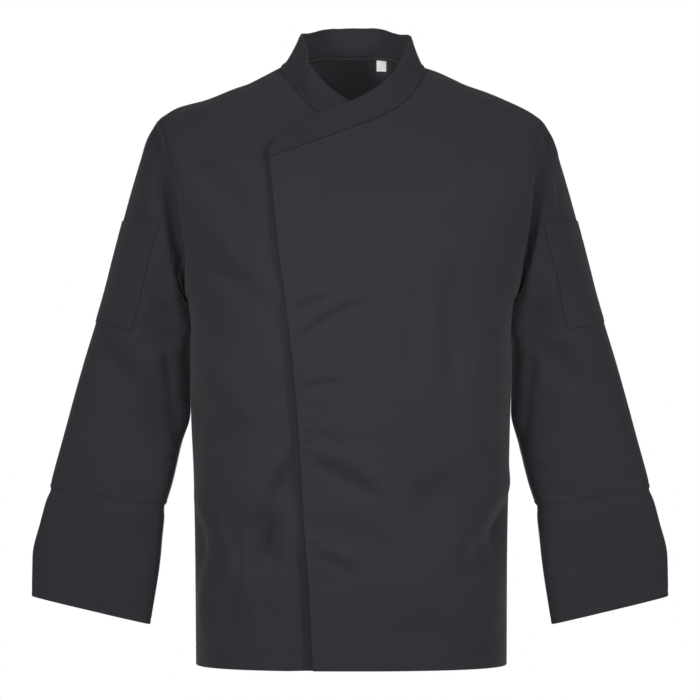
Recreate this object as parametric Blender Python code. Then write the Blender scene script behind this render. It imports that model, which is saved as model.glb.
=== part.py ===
"""Chef jacket, filled out with nobody in it: hollow cloth walls cut and joined as the real one is.

Blender script, +Z up, metres in the scene. The sizes below are in millimetres and MM turns them
into metres when a mesh is made. The front faces -Y and the wearer's left is +X. The origin is at
the root of the neck, level with the high point of the shoulders, on the line of the shoulders.

A piece of cloth is a grid of points with the outer face of the wall on them. Its inner face is
the same grid moved in by the wall. Pieces that are sewn together share the points of their seam,
and each is then drawn back from it by half of SEAM_GAP.
"""

import math

import bpy
import numpy as np

MM = 0.001

# Driving sizes, millimetres.
WALL = 1.6  # cloth of the body and sleeves
BAND_WALL = 2.4  # collar and cuffs, two layers and their stiffening
POCKET_WALL = 1.2
LABEL_WALL = 0.8
SEAM_GAP = 0.5  # between two pieces that are sewn together
POCKET_GAP = 1.1  # between a pocket and the sleeve that it lies on
LABEL_GAP = 0.9  # between the label and the back
LAP_DROP = 4.4  # how far the under front lies inside the over front
LAP_CLEAR = 6  # it is fully down this far outside the over front's edge
LAP_RUN = 36  # and starts to go down this much further out
HEM = -762  # height of the hem
ARMPIT = -297  # height of the foot of the armhole
ARCH = 230  # height over which front and back close to the shoulder ridge
ARM_DEPTH = 76  # half the front-to-back room of the armhole, before the arch closes it
ARM_RISE = 150  # height over which the armhole opens to that depth
ARM_FORM = 60  # height over which a section's end turns from the side seam's form to the armhole's
SEAM_FORWARD = 26  # how far the shoulder seam lies in front of the ridge
NECK_MID = 3.5  # the middle of the neck hole, across
NECK_OUT = 89.5  # half the width of the neck hole
NECK_BACK = 60  # how far the neck hole reaches back from the ridge
NECK_AXIS = (4, -10)  # the middle of the collar seen from above, which it leans towards
COLUMNS_LOW = -450  # below this height the grid's columns are spaced for the hem
ACROSS_POWER = 2.6  # how square a level section is, towards the front and back
SIDE_POWER = 2.3  # and towards the side seams
ARM_POWER = 1.5  # and towards the armholes
ARCH_POWER = 2.4  # how square the shoulders are from front to back
LABEL_ROWS = (0.5, 0.96)  # the size label: its share of the back's last row of points
LABEL_COLUMNS = (0.38, 0.96)  # and of the second column out from the middle
SHARP_EDGE = 40  # degrees: a sharper edge than this isn't shaded round

# Grid counts.
LOW_ROWS = 19  # hem to armpit
FRONT_ROWS = 10  # armpit to shoulder or neck seam
BACK_ROWS = 11
SHOULDER_COLUMNS = 8
BACK_NECK_COLUMNS = 6  # each half
COLLAR_ROWS = 4
FINE = 100  # points on a line that is measured or shared out
TRIES = 12  # rounds in which a height and its place across settle
UPWARD = np.array((0, 0, 1))

LEFT, RIGHT = 1, -1
FRONT, BACK = -1, 1


def table(names, *rows):
    """A short table: {column name: its values}."""
    return {n: np.array(c, float) for n, c in zip(names.split(), zip(*rows))}


# The outer edge of fronts and back: the side seam up to the armpit, then the armhole.
OUTER = {
    LEFT: table(
        "height out",
        (HEM, 200.5), (-640, 201), (-523, 203), (-443, 205), (-349, 207.5), (-320, 209.5),
        (ARMPIT, 213), (-265, 219), (-232, 225), (-207, 230), (-178, 234), (-133, 237.5),
        (-97, 240.5), (-69, 247),
    ),
    RIGHT: table(
        "height out",
        (HEM, 197), (-640, 198), (-523, 200), (-443, 203.5), (-349, 205), (-320, 207),
        (ARMPIT, 210), (-272, 211), (-213, 214), (-188, 217), (-158, 221), (-134, 225),
        (-102, 232), (-83, 237), (-66, 245),
    ),
}

# The front edge. Both fronts have it, past the middle of the body by so much.
EDGE = table(
    "height past",
    (HEM, 46), (-661, 51), (-586, 56.5), (-424, 67), (-303, 80), (-236, 89), (-176, 95), (-119, 101),
)

# The neckline of each front, from its front edge to the shoulder seam.
NECKLINE = {
    LEFT: table(
        "out height",
        (-101, -119), (-63, -106), (-37, -96), (-6, -83.5), (20, -73), (37, -66), (58, -54),
        (76, -36), (88, -16), (93, -6),
    ),
    RIGHT: table(
        "out height",
        (-101, -120), (-63, -107), (-37, -97), (-6, -85), (13, -75), (33.5, -61), (52.5, -46),
        (66, -32), (79, -16), (86, -5),
    ),
}

# The top of the shoulders, and the root of the neck between them that only shapes the slopes.
SHOULDER = {
    LEFT: table(
        "across height",
        (93, 1), (111, -5), (133, -15), (148, -22), (174, -31), (198, -41), (230, -56.5), (247, -68.5),
    ),
    RIGHT: table(
        "across height",
        (-245, -66), (-220, -51), (-184, -41), (-146, -26), (-131, -21), (-111, -11), (-86, 2),
    ),
}
NECK_ROOT = {
    FRONT: table("across height", (-86, 2), (-45, 14), (4, 18), (52, 14), (93, 1)),
    BACK: table(
        "across height",
        (-86, 2), (-72, 8), (-58, 19), (-42, 33), (-22, 44), (4, 49),
        (30, 44), (49, 33), (65, 18), (79, 7), (93, 1),
    ),
}

# How far the middle of the front and of the back stand from the shoulder line at each height.
DEPTH = table(
    "height front back",
    (HEM, 128, 118), (-640, 127, 116), (-523, 127, 114), (-443, 129, 117), (-349, 133, 123),
    (ARMPIT, 135, 127), (-250, 134, 130), (-200, 130, 131), (-150, 122, 128), (-110, 112, 122),
    (-60, 99, 112), (0, 82, 100), (30, 76, 95),
)

# The collar along its length: 0 at the over front's edge, 1 and 2 at the neck ends of the
# shoulder seams, 3 at the under front's hidden edge.
COLLAR = table(
    "along height lean",
    (0, 13, 0.52), (0.03, 19, 0.52), (0.07, 25, 0.52), (0.12, 30, 0.50), (0.2, 33.5, 0.44),
    (0.3, 33.5, 0.34), (0.4, 32.5, 0.24), (0.5, 33.5, 0.20), (0.6, 36, 0.26), (0.7, 39, 0.32),
    (0.8, 41, 0.37), (0.93, 40.5, 0.40), (1, 39.5, 0.41), (1.15, 38.2, 0.38), (1.3, 36.8, 0.30),
    (1.5, 38, 0.27), (1.67, 36.5, 0.33), (1.83, 38.2, 0.48), (1.92, 39.2, 0.57), (2, 42, 0.62),
    (2.1, 43, 0.58), (2.22, 38.5, 0.42), (2.32, 36.5, 0.32), (2.42, 35.5, 0.34), (2.55, 36, 0.50),
    (2.8, 36, 0.64), (2.93, 33, 0.66), (3, 13, 0.66),
)
COLLAR_STRAIGHT = 0.5  # over this much of its length at each end the collar leans straight back
COLLAR_HOLLOW = 0.75  # below 1 it leans in most near its foot, so that its outer face is hollow

# The sleeve below the armhole: the outer and the inner point of each section, with the inner one
# across for either side, half its depth, how far its middle lies back, and how square it is.
SLEEVE = table(
    "outer_x outer_z left_x right_x inner_z depth back square",
    (260, -92, 212.7, 210.4, -311, 65, 2, 2.0),
    (268.3, -118, 210.4, 208.0, -322, 66, 6, 2.0),
    (279.1, -153, 209.2, 206.8, -332, 67, 11, 2.0),
    (290.8, -194, 208.5, 206.0, -341, 67, 16, 2.0),
    (304, -243, 208.0, 205.5, -350, 65, 20, 2.0),
    (315, -286, 207.7, 205.3, -360, 62, 22, 2.0),
    (326.6, -326, 207.4, 205.0, -374, 58, 23, 2.1),
    (341.2, -374, 206.8, 204.5, -402, 52, 22, 2.2),
    (355.2, -424, 206.6, 204.8, -440, 46, 20, 2.3),
    (369, -476, 216.6, 216.4, -483, 40, 15, 2.3),
    (378.6, -512, 227.6, 226.6, -528, 34, 9, 2.4),
    (385.3, -539, 237.2, 235.4, -561, 29, 3, 2.5),
    (396, -580, 241.4, 239.3, -594, 25, -1, 2.6),
    (406, -624, 246.2, 243.6, -638, 21, -4, 2.7),
    (407, -674.6, 257.4, 255.2, -710.6, 17, -6, 2.8),
)
CUFF_ROW = 11  # the row of the seam between sleeve and cuff
CAP_ROWS = 5  # the rows over which the armhole's own outline turns into an oval
ARMHOLE_ROWS = 3  # and over which its bends out of one plane fade
RING_ROWS = np.concatenate([np.arange(0, CUFF_ROW, 0.5), np.arange(CUFF_ROW, len(SLEEVE["depth"]))])
CUFF_RING = 1 + int(np.searchsorted(RING_ROWS, CUFF_ROW))  # ring 0 is the armhole

# The largest folds. Each runs from one point to another, seen from the front or from behind; its
# width is from foot to foot, and a trough has its height below 0.
FOLD_COLUMNS = "x0 z0 x1 z1 width height"
FOLD_PAST = 0.12  # the share of its length that a fold runs on past both points
FOLD_FADE = 0.3  # and the share over which it rises from there
FACE_ON = 0.5  # a sleeve's fold is whole where its face is turned this much to the front or back
FRONT_FOLDS = table(
    FOLD_COLUMNS,
    (-66, -300, -36, -286, 30, -2.6),
    (-66, -338, 26, -288, 34, -3.2),
    (-60, -403, -26, -398, 24, -2.2),
    (-40, -490, 42, -534, 44, -4.5),
    (-36, -462, 46, -506, 40, 2.6),
    (-52, -604, 6, -636, 32, -3.0),
    (196, -556, 158, -614, 40, -5.0),
    (150, -300, 138, -420, 56, -3.0),
    (96, -250, 104, -520, 90, 2.6),
    (-216, -206, -102, -300, 44, -4.0),
    (-200, -100, -104, -166, 44, -3.0),
    (-168, -470, -166, -730, 46, -4.0),
    (-90, -490, -112, -640, 44, -3.0),
    (150, -660, 178, -740, 44, -3.4),
)
BACK_FOLDS = table(
    FOLD_COLUMNS,
    (208, -230, 120, -330, 50, -4.0),
    (-206, -236, -110, -350, 54, -4.4),
    (150, -420, 140, -700, 60, -4.5),
    (-146, -380, -158, -690, 60, -4.2),
    (30, -440, 46, -720, 70, 3.4),
    (-40, -420, -58, -740, 64, -3.4),
    (-70, -150, 76, -158, 60, 2.6),
)
SLEEVE_FRONT_FOLDS = table(
    FOLD_COLUMNS,
    (244, -112, 246, -330, 22, -4.0),
    (232, -310, 262, -430, 40, -4.0),
    (276, -310, 268, -420, 44, 2.6),
    (214, -500, 262, -470, 30, -4.0),
    (300, -420, 330, -520, 44, -2.6),
)
SLEEVE_BACK_FOLDS = table(
    FOLD_COLUMNS,
    (250, -120, 268, -320, 34, -4.0),
    (222, -330, 300, -400, 36, -4.4),
    (226, -420, 330, -440, 34, -4.0),
    (232, -500, 320, -476, 34, -3.4),
)

# The sleeve pocket: its front and back edges as shares of the way round the sleeve, from the
# underarm over the front. The heights of its top and bottom edges where they cross the outside
# of the arm, how far out that is, and how much each edge falls for each millimetre inwards.
POCKET_AROUND = (0.3, 0.64)
POCKET_TOP = (-196, 290, 0.135)
POCKET_BOTTOM = (-325, 324, 0.2)
POCKET_ROWS = 6

COLOURS = {
    "cloth": (0.031, 0.033, 0.038, 1),
    "band": (0.029, 0.031, 0.036, 1),
    "label": (0.8, 0.8, 0.8, 1),
}


def smooth(at, xs, ys):
    """A smooth curve through a table's points that never runs past them, level outside."""
    step = np.diff(ys) / np.diff(xs)
    both = step[1:] * step[:-1]
    total = np.where(both > 0, step[1:] + step[:-1], 1)
    slope = np.concatenate([step[:1], np.where(both > 0, 2 * both / total, 0), step[-1:]])
    at = np.clip(at, xs[0], xs[-1])
    k = np.clip(np.searchsorted(xs, at) - 1, 0, len(xs) - 2)
    width = xs[k + 1] - xs[k]
    s = (at - xs[k]) / width
    start = ys[k] * (1 + 2 * s) + slope[k] * width * s
    end = ys[k + 1] * (3 - 2 * s) - slope[k + 1] * width * (1 - s)
    return start * (1 - s) ** 2 + end * s * s


def ease(at):
    """0 to 1 with level ends, for 0 to 1."""
    at = np.clip(at, 0, 1)
    return at * at * (3 - 2 * at)


def unit(v):
    return v / np.linalg.norm(v, axis=-1, keepdims=True)


def along(line):
    """The length along a line of points, at each of them."""
    steps = np.linalg.norm(np.diff(line, axis=0), axis=1)
    return np.concatenate([[0], np.cumsum(steps)])


def respaced(line, count):
    """count + 1 points at equal steps along a line of points."""
    length = along(line)
    at = np.linspace(0, length[-1], count + 1)
    return np.stack([np.interp(at, length, line[:, k]) for k in range(3)], axis=1)


# ---- the form of the body


def outer_edge(side, z):
    return smooth(z, OUTER[side]["height"], OUTER[side]["out"])


def front_edge(z):
    """Where a front ends past the middle, measured outwards on its own side."""
    return -smooth(z, EDGE["height"], EDGE["past"])


def ridge(x, face):
    """The height at which a slope of the shoulders, or of the neck's root, closes."""
    left, right, neck = SHOULDER[LEFT], SHOULDER[RIGHT], NECK_ROOT[face]
    if x >= left["across"][0]:
        return smooth(x, left["across"], left["height"])
    if x <= right["across"][-1]:
        return smooth(x, right["across"], right["height"])
    return smooth(x, neck["across"], neck["height"])


def swell(x, z, face):
    """How far the cloth stands from the shoulder line before the shoulders close it."""
    out = outer_edge(LEFT if x > 0 else RIGHT, z)
    rise = min(max((z - ARMPIT) / ARM_RISE, 0), 1)
    at_arm = ARM_DEPTH * math.sqrt(1 - (1 - rise) ** 2)
    middle = smooth(z, DEPTH["height"], DEPTH["front" if face == FRONT else "back"])
    power = SIDE_POWER + (ARM_POWER - SIDE_POWER) * ease((z - ARMPIT) / ARM_FORM)
    share = min(abs(x) / out, 1)
    return at_arm + (middle - at_arm) * (1 - share**ACROSS_POWER) ** (1 / power)


def arch(x, z, face):
    """1 below the shoulders, falling to 0 at their ridge."""
    t = min(max((z - ridge(x, face)) / ARCH + 1, 0), 1)
    return (1 - t**ARCH_POWER) ** (1 / ARCH_POWER)


def height_at(x, y):
    """The height of the shoulders, or of the neck's root, at a place seen from above."""
    face = FRONT if y < 0 else BACK
    z = ridge(x, face)
    for _ in range(TRIES):
        share = min(abs(y) / swell(x, z, face), 1)
        z = ridge(x, face) + ARCH * ((1 - share**ARCH_POWER) ** (1 / ARCH_POWER) - 1)
    return z


# ---- columns of points from the hem up to a seam


def column(side, face, low, top_x, shoulder, end):
    """Points from the hem to end = (height, whether past the ridge), evenly along the cloth.

    low is the share of the width at the hem, top_x the place across at the top, and shoulder,
    where it isn't None, the share of the shoulder seam instead.
    """
    inner = front_edge if face == FRONT else lambda z: side * NECK_MID
    neck_x = side * (NECK_MID + side * NECK_OUT)

    def across(z):
        out = outer_edge(side, z)
        inside = inner(z)
        hem_way = inside + (out - inside) * low
        top_way = side * top_x if shoulder is None else neck_x + (out - neck_x) * shoulder
        if shoulder is None and low == 0 and face == FRONT:
            top_way = inside
        w = ease((z - COLUMNS_LOW) / (end[0] - COLUMNS_LOW))
        return side * (hem_way + (top_way - hem_way) * w)

    lower = []
    for z in np.linspace(HEM, ARMPIT, LOW_ROWS + 1):
        x = across(z)
        lower.append((x, face * swell(x, z, face), z))

    top = ridge(across(end[0]), face)
    reach = math.asin((end[0] - ARMPIT) / (top - ARMPIT)) / (math.pi / 2)
    last = 2 - reach if end[1] else reach
    upper = []
    for s in np.linspace(0, last, FINE):
        z = ARMPIT
        for _ in range(TRIES):
            x = across(z)
            z = ARMPIT + (ridge(x, face) - ARMPIT) * math.sin(s * math.pi / 2)
        now = face if s <= 1 else -face
        upper.append((x, now * swell(x, z, now) * arch(x, z, now), z))
    rows = FRONT_ROWS if face == FRONT else BACK_ROWS
    return np.concatenate([lower[:-1], respaced(np.array(upper), rows)])


def hem_shares(side, face, count):
    """Shares of the width at the hem that space the columns evenly round the body."""
    inside = front_edge(HEM) if face == FRONT else side * NECK_MID
    out = outer_edge(side, HEM)
    share = np.sin(np.linspace(0, math.pi / 2, FINE))
    x = inside + (out - inside) * share
    line = np.array([(a, swell(side * a, HEM, face), 0) for a in x])
    length = along(line)
    return np.interp(np.linspace(0, length[-1], count + 1), length, share)


def neck_line(side):
    """A front's neckline: places across and their lengths along it, from 0 to 1."""
    rows = NECKLINE[side]
    out = np.linspace(rows["out"][0], rows["out"][-1], FINE)
    z = smooth(out, rows["out"], rows["height"])
    y = [swell(side * a, h, FRONT) * arch(side * a, h, FRONT) for a, h in zip(out, z)]
    length = along(np.stack([out, y, z], axis=1))
    return out, z, length / length[-1]


FRONT_NECK_SHARES = (0, 0.03, 0.07, 0.12, 0.2, 0.3, 0.4, 0.5, 0.6, 0.7, 0.79, 0.87, 0.94, 1)


def front_grid(side):
    """The points of one front: rows from the hem up, columns from the front edge out."""
    out, z, length = neck_line(side)
    neck_count = len(FRONT_NECK_SHARES) - 1
    low = hem_shares(side, FRONT, neck_count + SHOULDER_COLUMNS)
    found = []
    for i, share in enumerate(FRONT_NECK_SHARES[:-1]):
        x, height = np.interp(share, length, out), np.interp(share, length, z)
        found.append(column(side, FRONT, low[i], side * x, None, (height, False)))
    for k in range(SHOULDER_COLUMNS + 1):
        share = k / SHOULDER_COLUMNS
        found.append(shoulder_column(side, FRONT, low[neck_count + k], share))
    return np.stack(found, axis=1)


def shoulder_column(side, face, low, share):
    """A column that ends on the shoulder seam, which lies in front of the ridge."""
    neck_x = NECK_MID + side * NECK_OUT
    tip_x = side * OUTER[side]["out"][-1]
    x = neck_x + (tip_x - neck_x) * share
    z = height_at(x, -SEAM_FORWARD)
    return column(side, face, low, None, share, (z, face == BACK))


def back_half(side):
    """Half of the back: rows from the hem up, columns from the middle out."""
    low = hem_shares(side, BACK, BACK_NECK_COLUMNS + SHOULDER_COLUMNS)
    found = []
    for i in range(BACK_NECK_COLUMNS):
        turn = math.pi / 2 * (1 - i / BACK_NECK_COLUMNS)
        x = NECK_MID + side * NECK_OUT * math.cos(turn)
        y = -SEAM_FORWARD + (NECK_BACK + SEAM_FORWARD) * math.sin(turn)
        found.append(column(side, BACK, low[i], x, None, (height_at(x, y), y < 0)))
    for k in range(SHOULDER_COLUMNS + 1):
        share = k / SHOULDER_COLUMNS
        found.append(shoulder_column(side, BACK, low[BACK_NECK_COLUMNS + k], share))
    return np.stack(found, axis=1)


# ---- folds, and the drop under the lap


def fold_height(folds, x, z):
    """How far the folds of one table lift a point seen at x, z."""
    total = np.zeros_like(x)
    for x0, z0, x1, z1, width, height in zip(*folds.values()):
        run = np.array((x1 - x0, z1 - z0))
        length = np.hypot(*run)
        way = ((x - x0) * run[0] + (z - z0) * run[1]) / length**2
        off = ((x - x0) * run[1] - (z - z0) * run[0]) / length
        across = ease(1 - np.abs(off) / (width / 2))
        ends = ease((way + FOLD_PAST) / FOLD_FADE) * ease((1 + FOLD_PAST - way) / FOLD_FADE)
        total += height * across * ends
    return total


def lap_outline():
    """The outline of what covers the under front: the over front's edge and its collar's top."""
    z = np.linspace(HEM - LAP_RUN, EDGE["height"][-1], FINE)
    edge = np.stack([front_edge(z), z], axis=1)
    out, height, length = neck_line(LEFT)
    share = np.linspace(0, 1, FINE)
    x = np.interp(share, length, out)
    top = np.interp(share, length, height) + smooth(share, COLLAR["along"], COLLAR["height"])
    return np.concatenate([edge, np.stack([x, top], axis=1)])


def lap_drop(x, z, outline):
    """How far the under front and its collar lie in, where the over front comes over them."""
    start, run = outline[:-1], np.diff(outline, axis=0)
    p = np.stack([x, z], axis=-1)[..., None, :]
    t = ((p - start) * run).sum(-1) / (run * run).sum(-1)
    near = start + np.clip(t, 0, 1)[..., None] * run
    away = np.linalg.norm(p - near, axis=-1)
    k = away.argmin(-1)
    turned = run[k, 0] * (z - start[k, 1]) - run[k, 1] * (x - start[k, 0])
    outside = np.where(turned > 0, away.min(-1), -away.min(-1))
    return LAP_DROP * ease(1 - (outside - LAP_CLEAR) / LAP_RUN)


def normals(grid, sign):
    """Outward directions on a grid: sign is 1 where its columns run towards +X on the front."""
    rows = np.gradient(grid, axis=0)
    columns = np.gradient(grid, axis=1)
    return unit(np.cross(columns, rows) * sign)


def lifted(grid, sign, folds, fade):
    """A grid moved out by its folds, less towards the seams that fade names."""
    lift = fold_height(folds, grid[..., 0], grid[..., 2]) * fade
    return grid + normals(grid, sign) * lift[..., None]


def seam_fade(shape, top, right, left=False):
    """1 inside a grid, and less over the last two rows or columns before a named edge."""
    rows, columns = shape
    r = np.arange(rows)[:, None] * np.ones((1, columns))
    c = np.arange(columns)[None, :] * np.ones((rows, 1))
    fade = np.ones(shape)
    if top:
        fade = fade * ease((rows - 1 - r) / 2)
    if right:
        fade = fade * ease((columns - 1 - c) / 2)
    if left:
        fade = fade * ease(c / 2)
    return fade


# ---- walls

TIGHT_FOLD, WIDE_BEND = -0.2, 0.5  # cosines of the angle between the two walls' directions


def bend(mine, other):
    """1 where two walls meet in a wide bend, falling to 0 where they meet in a tight fold."""
    agree = np.sum(mine * other, axis=-1, keepdims=True)
    return ease((agree - TIGHT_FOLD) / (WIDE_BEND - TIGHT_FOLD))


def seam_normal(mine, other):
    """The wall's direction at a seam: halfway on a wide bend, its own in a tight fold."""
    w = bend(mine, other)
    return unit(mine * (2 - w) + other * w)


def drawn_back(grid, edges):
    """A grid drawn back from each edge that is sewn, by half of the seam's gap."""
    grid = grid.copy()
    half = SEAM_GAP / 2
    if "top" in edges:
        grid[-1] += unit(grid[-2] - grid[-1]) * half
    if "bottom" in edges:
        grid[0] += unit(grid[1] - grid[0]) * half
    if "right" in edges:
        grid[:, -1] += unit(grid[:, -2] - grid[:, -1]) * half
    if "left" in edges:
        grid[:, 0] += unit(grid[:, 1] - grid[:, 0]) * half
    return grid


def material(name):
    found = bpy.data.materials.get(name)
    if found:
        return found
    found = bpy.data.materials.new(name)
    found.use_nodes = True
    shader = found.node_tree.nodes["Principled BSDF"]
    shader.inputs["Base Color"].default_value = COLOURS[name]
    shader.inputs["Roughness"].default_value = 0.9
    shader.inputs["Metallic"].default_value = 0
    return found


def wall(name, outer, normal, thickness, sign, finish, ring=False):
    """One closed piece of cloth: the outer grid, the same grid moved in, and the cut edges.

    sign is 1 where the outer grid's rows and columns make faces that look outwards, and a ring's
    last column is joined to its first.
    """
    inner = outer - normal * thickness
    rows, columns = outer.shape[:2]
    points = np.concatenate([outer.reshape(-1, 3), inner.reshape(-1, 3)]) * MM
    second = rows * columns
    faces = []

    def quad(a, b, c, d):
        faces.append((a, b, c, d) if sign > 0 else (a, d, c, b))

    spans = columns if ring else columns - 1
    for r in range(rows - 1):
        for c in range(spans):
            d = (c + 1) % columns
            a, b = r * columns + c, r * columns + d
            e, f = a + columns, b + columns
            quad(a, b, f, e)
            quad(second + e, second + f, second + b, second + a)
    for c in range(spans):
        d = (c + 1) % columns
        top = (rows - 1) * columns
        quad(second + c, second + d, d, c)
        quad(top + c, top + d, second + top + d, second + top + c)
    if not ring:
        for r in range(rows - 1):
            a, b = r * columns, (r + 1) * columns
            quad(a, b, second + b, second + a)
            a, b = a + columns - 1, b + columns - 1
            quad(b, a, second + a, second + b)

    mesh = bpy.data.meshes.new(name)
    mesh.from_pydata(points.tolist(), [], faces)
    mesh.materials.append(material(finish))
    mesh.shade_smooth()
    mesh.set_sharp_from_angle(angle=math.radians(SHARP_EDGE))
    piece = bpy.data.objects.new(name, mesh)
    bpy.context.collection.objects.link(piece)
    return piece


# ---- sleeves


def sleeve_rings(side, armhole):
    """The points of a sleeve and its cuff: ring 0 is the armhole, the rest follow SLEEVE."""
    count = len(armhole)
    length = along(np.concatenate([armhole, armhole[:1]]))
    peak = armhole[:, 2].argmax()
    at = np.where(
        np.arange(count) <= peak,
        length[:-1] / length[peak] / 2,
        0.5 + (length[:-1] - length[peak]) / (length[-1] - length[peak]) / 2,
    )
    turn = 2 * math.pi * at
    foot, tip = armhole[0], armhole[peak]
    line = tip - foot
    up = (armhole - foot) @ line / (line @ line)
    fore = armhole[:, 1] / np.abs(armhole[:, 1]).max()
    flat = foot + up[:, None] * line + np.outer(armhole[:, 1], (0, 1, 0))
    own = armhole - flat
    rings = [armhole]
    table_rows = np.arange(len(SLEEVE["depth"]))
    for at_row in RING_ROWS:
        row = [smooth(at_row, table_rows, values) for values in SLEEVE.values()]
        outer_x, outer_z, left_x, right_x, inner_z, depth, back, square = row
        inner_x = left_x if side == LEFT else -right_x
        inner = np.array((inner_x, back, inner_z))
        outer = np.array((side * outer_x, back, outer_z))
        share = 2 / square
        c, s = -np.cos(turn), -np.sin(turn)
        oval_up = 0.5 + 0.5 * np.sign(c) * np.abs(c) ** share
        oval_fore = np.sign(s) * np.abs(s) ** share
        w = ease((at_row + 1) / CAP_ROWS)
        go_up = up + (oval_up - up) * w
        scale = depth * (fore + (oval_fore - fore) * w)
        ring = inner + go_up[:, None] * (outer - inner) + np.outer(scale, (0, 1, 0))
        rings.append(ring + own * (1 - ease((at_row + 1) / ARMHOLE_ROWS)))
    return np.array(rings)


def ring_normals(rings, sign):
    """Outward directions on a tube of points."""
    down = np.gradient(rings, axis=0)
    around = np.roll(rings, -1, axis=1) - np.roll(rings, 1, axis=1)
    return unit(np.cross(down, around) * sign)


def sleeve_folds(rings, normal, side):
    """The folds of a sleeve, by which of its faces they are on."""
    x, z = side * rings[..., 0], rings[..., 2]
    facing = normal[..., 1]
    front = fold_height(SLEEVE_FRONT_FOLDS, x, z) * ease(-facing / FACE_ON)
    back = fold_height(SLEEVE_BACK_FOLDS, x, z) * ease(facing / FACE_ON)
    ring = np.arange(len(rings))
    fade = ease(ring / 2) * (ring < CUFF_RING - 1)
    return (front + back) * fade[:, None]


def pocket(name, rings, normal, side):
    """A patch pocket: the sleeve's own points, moved out, between two heights."""
    count = rings.shape[1]
    front, rear = POCKET_AROUND
    inside = range(math.ceil(front * count), math.ceil(rear * count))
    points, facing = [], []
    for around in [front * count] + list(inside) + [rear * count]:
        k, share = int(around), around % 1
        line = rings[:, k] * (1 - share) + rings[:, (k + 1) % count] * share
        way = normal[:, k] * (1 - share) + normal[:, (k + 1) % count] * share
        at = []
        for height, out, fall in (POCKET_TOP, POCKET_BOTTOM):
            below = height - fall * (out - side * line[:, 0]) - line[:, 2]
            at.append(np.interp(0, below[:CUFF_RING], np.arange(CUFF_RING)))
        at = np.linspace(*at, POCKET_ROWS + 1)
        rows = np.arange(len(line))
        points.append(np.stack([np.interp(at, rows, line[:, i]) for i in range(3)], axis=1))
        facing.append(np.stack([np.interp(at, rows, way[:, i]) for i in range(3)], axis=1))
    points, facing = np.stack(points, axis=1), unit(np.stack(facing, axis=1))
    outer = points + facing * (POCKET_GAP + POCKET_WALL)
    wall(name, outer, facing, POCKET_WALL, -side, "cloth")


# ---- the body


def make_front(side, outline):
    """A front's points and the outward directions on them."""
    grid = front_grid(side)
    fade = seam_fade(grid.shape[:2], top=True, right=True)
    grid = lifted(grid, side, FRONT_FOLDS, fade)
    if side == RIGHT:
        drop = lap_drop(grid[..., 0], grid[..., 2], outline)
        grid = grid - normals(grid, side) * drop[..., None]
    return grid, normals(grid, side)


def make_back():
    """The back's points, from the right side to the left, and the outward directions on them."""
    grid = np.concatenate([back_half(RIGHT)[:, ::-1], back_half(LEFT)[:, 1:]], axis=1)
    fade = seam_fade(grid.shape[:2], top=True, right=True, left=True)
    grid = lifted(grid, -1, BACK_FOLDS, fade)
    return grid, normals(grid, -1)


def sew_body(side, front, front_facing, back, back_facing):
    """Join a front to the back: the side seam and the shoulder seam get one line of points."""
    low = slice(LOW_ROWS + 1)
    col = -1 if side == LEFT else 0
    front[low, -1] = back[low, col]
    both = unit(front_facing[low, -1] + back_facing[low, col])
    front_facing[low, -1] = back_facing[low, col] = both

    run = SHOULDER_COLUMNS + 1
    there = slice(-run, None) if side == LEFT else slice(run - 1, None, -1)
    back[-1, there] = front[-1, -run:]
    both = unit(front_facing[-1, -run:] + back_facing[-1, there])
    front_facing[-1, -run:] = back_facing[-1, there] = both


def size_label(back, back_facing):
    """The bare label inside the back, below the collar: the back's own points, moved in."""
    column = SHOULDER_COLUMNS + BACK_NECK_COLUMNS + 1

    def patch(grid):
        low, high = grid[-2, column : column + 2], grid[-1, column : column + 2]
        u = np.linspace(*LABEL_COLUMNS, 3)[None, :, None]
        v = np.linspace(*LABEL_ROWS, 3)[:, None, None]
        return (low[0] * (1 - u) + low[1] * u) * (1 - v) + (high[0] * (1 - u) + high[1] * u) * v

    facing = unit(patch(back_facing))
    outer = patch(back) - facing * (WALL + LABEL_GAP)
    wall("size_label", outer, facing, LABEL_WALL, -1, "label")


# ---- sleeves and collar, sewn to the body


def sew_sleeve(side, front, front_facing, back, back_facing):
    """A sleeve with its cuff and pocket, from the armhole out."""
    word = "left" if side == LEFT else "right"
    col = -1 if side == LEFT else 0
    armhole = np.concatenate([front[LOW_ROWS:, -1], back[LOW_ROWS:, col][-2:0:-1]])
    rings = sleeve_rings(side, armhole)
    facing = ring_normals(rings, side)
    rings = rings + facing * sleeve_folds(rings, facing, side)[..., None]
    facing = ring_normals(rings, side)

    body = np.concatenate([front_facing[LOW_ROWS:, -1], back_facing[LOW_ROWS:, col][-2:0:-1]])
    tight = 1 - bend(facing[0], body)
    start = seam_normal(facing[0], body)
    body = seam_normal(body, facing[0])
    facing[0] = start
    rings[0] = rings[0] - start * tight * SEAM_GAP / 2
    front_facing[LOW_ROWS:, -1] = body[: FRONT_ROWS + 1]
    back_facing[LOW_ROWS:, col] = np.concatenate([body[FRONT_ROWS:], body[:1]])[::-1]

    sleeve = drawn_back(rings[: CUFF_RING + 1], ("top", "bottom"))
    cuff = drawn_back(rings[CUFF_RING:], ("bottom",))
    wall(f"{word}_sleeve", sleeve, facing[: CUFF_RING + 1], WALL, -side, "cloth", ring=True)
    wall(f"{word}_cuff", cuff, facing[CUFF_RING:], BAND_WALL, -side, "band", ring=True)
    pocket(f"{word}_sleeve_pocket", rings, facing, side)


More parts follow.
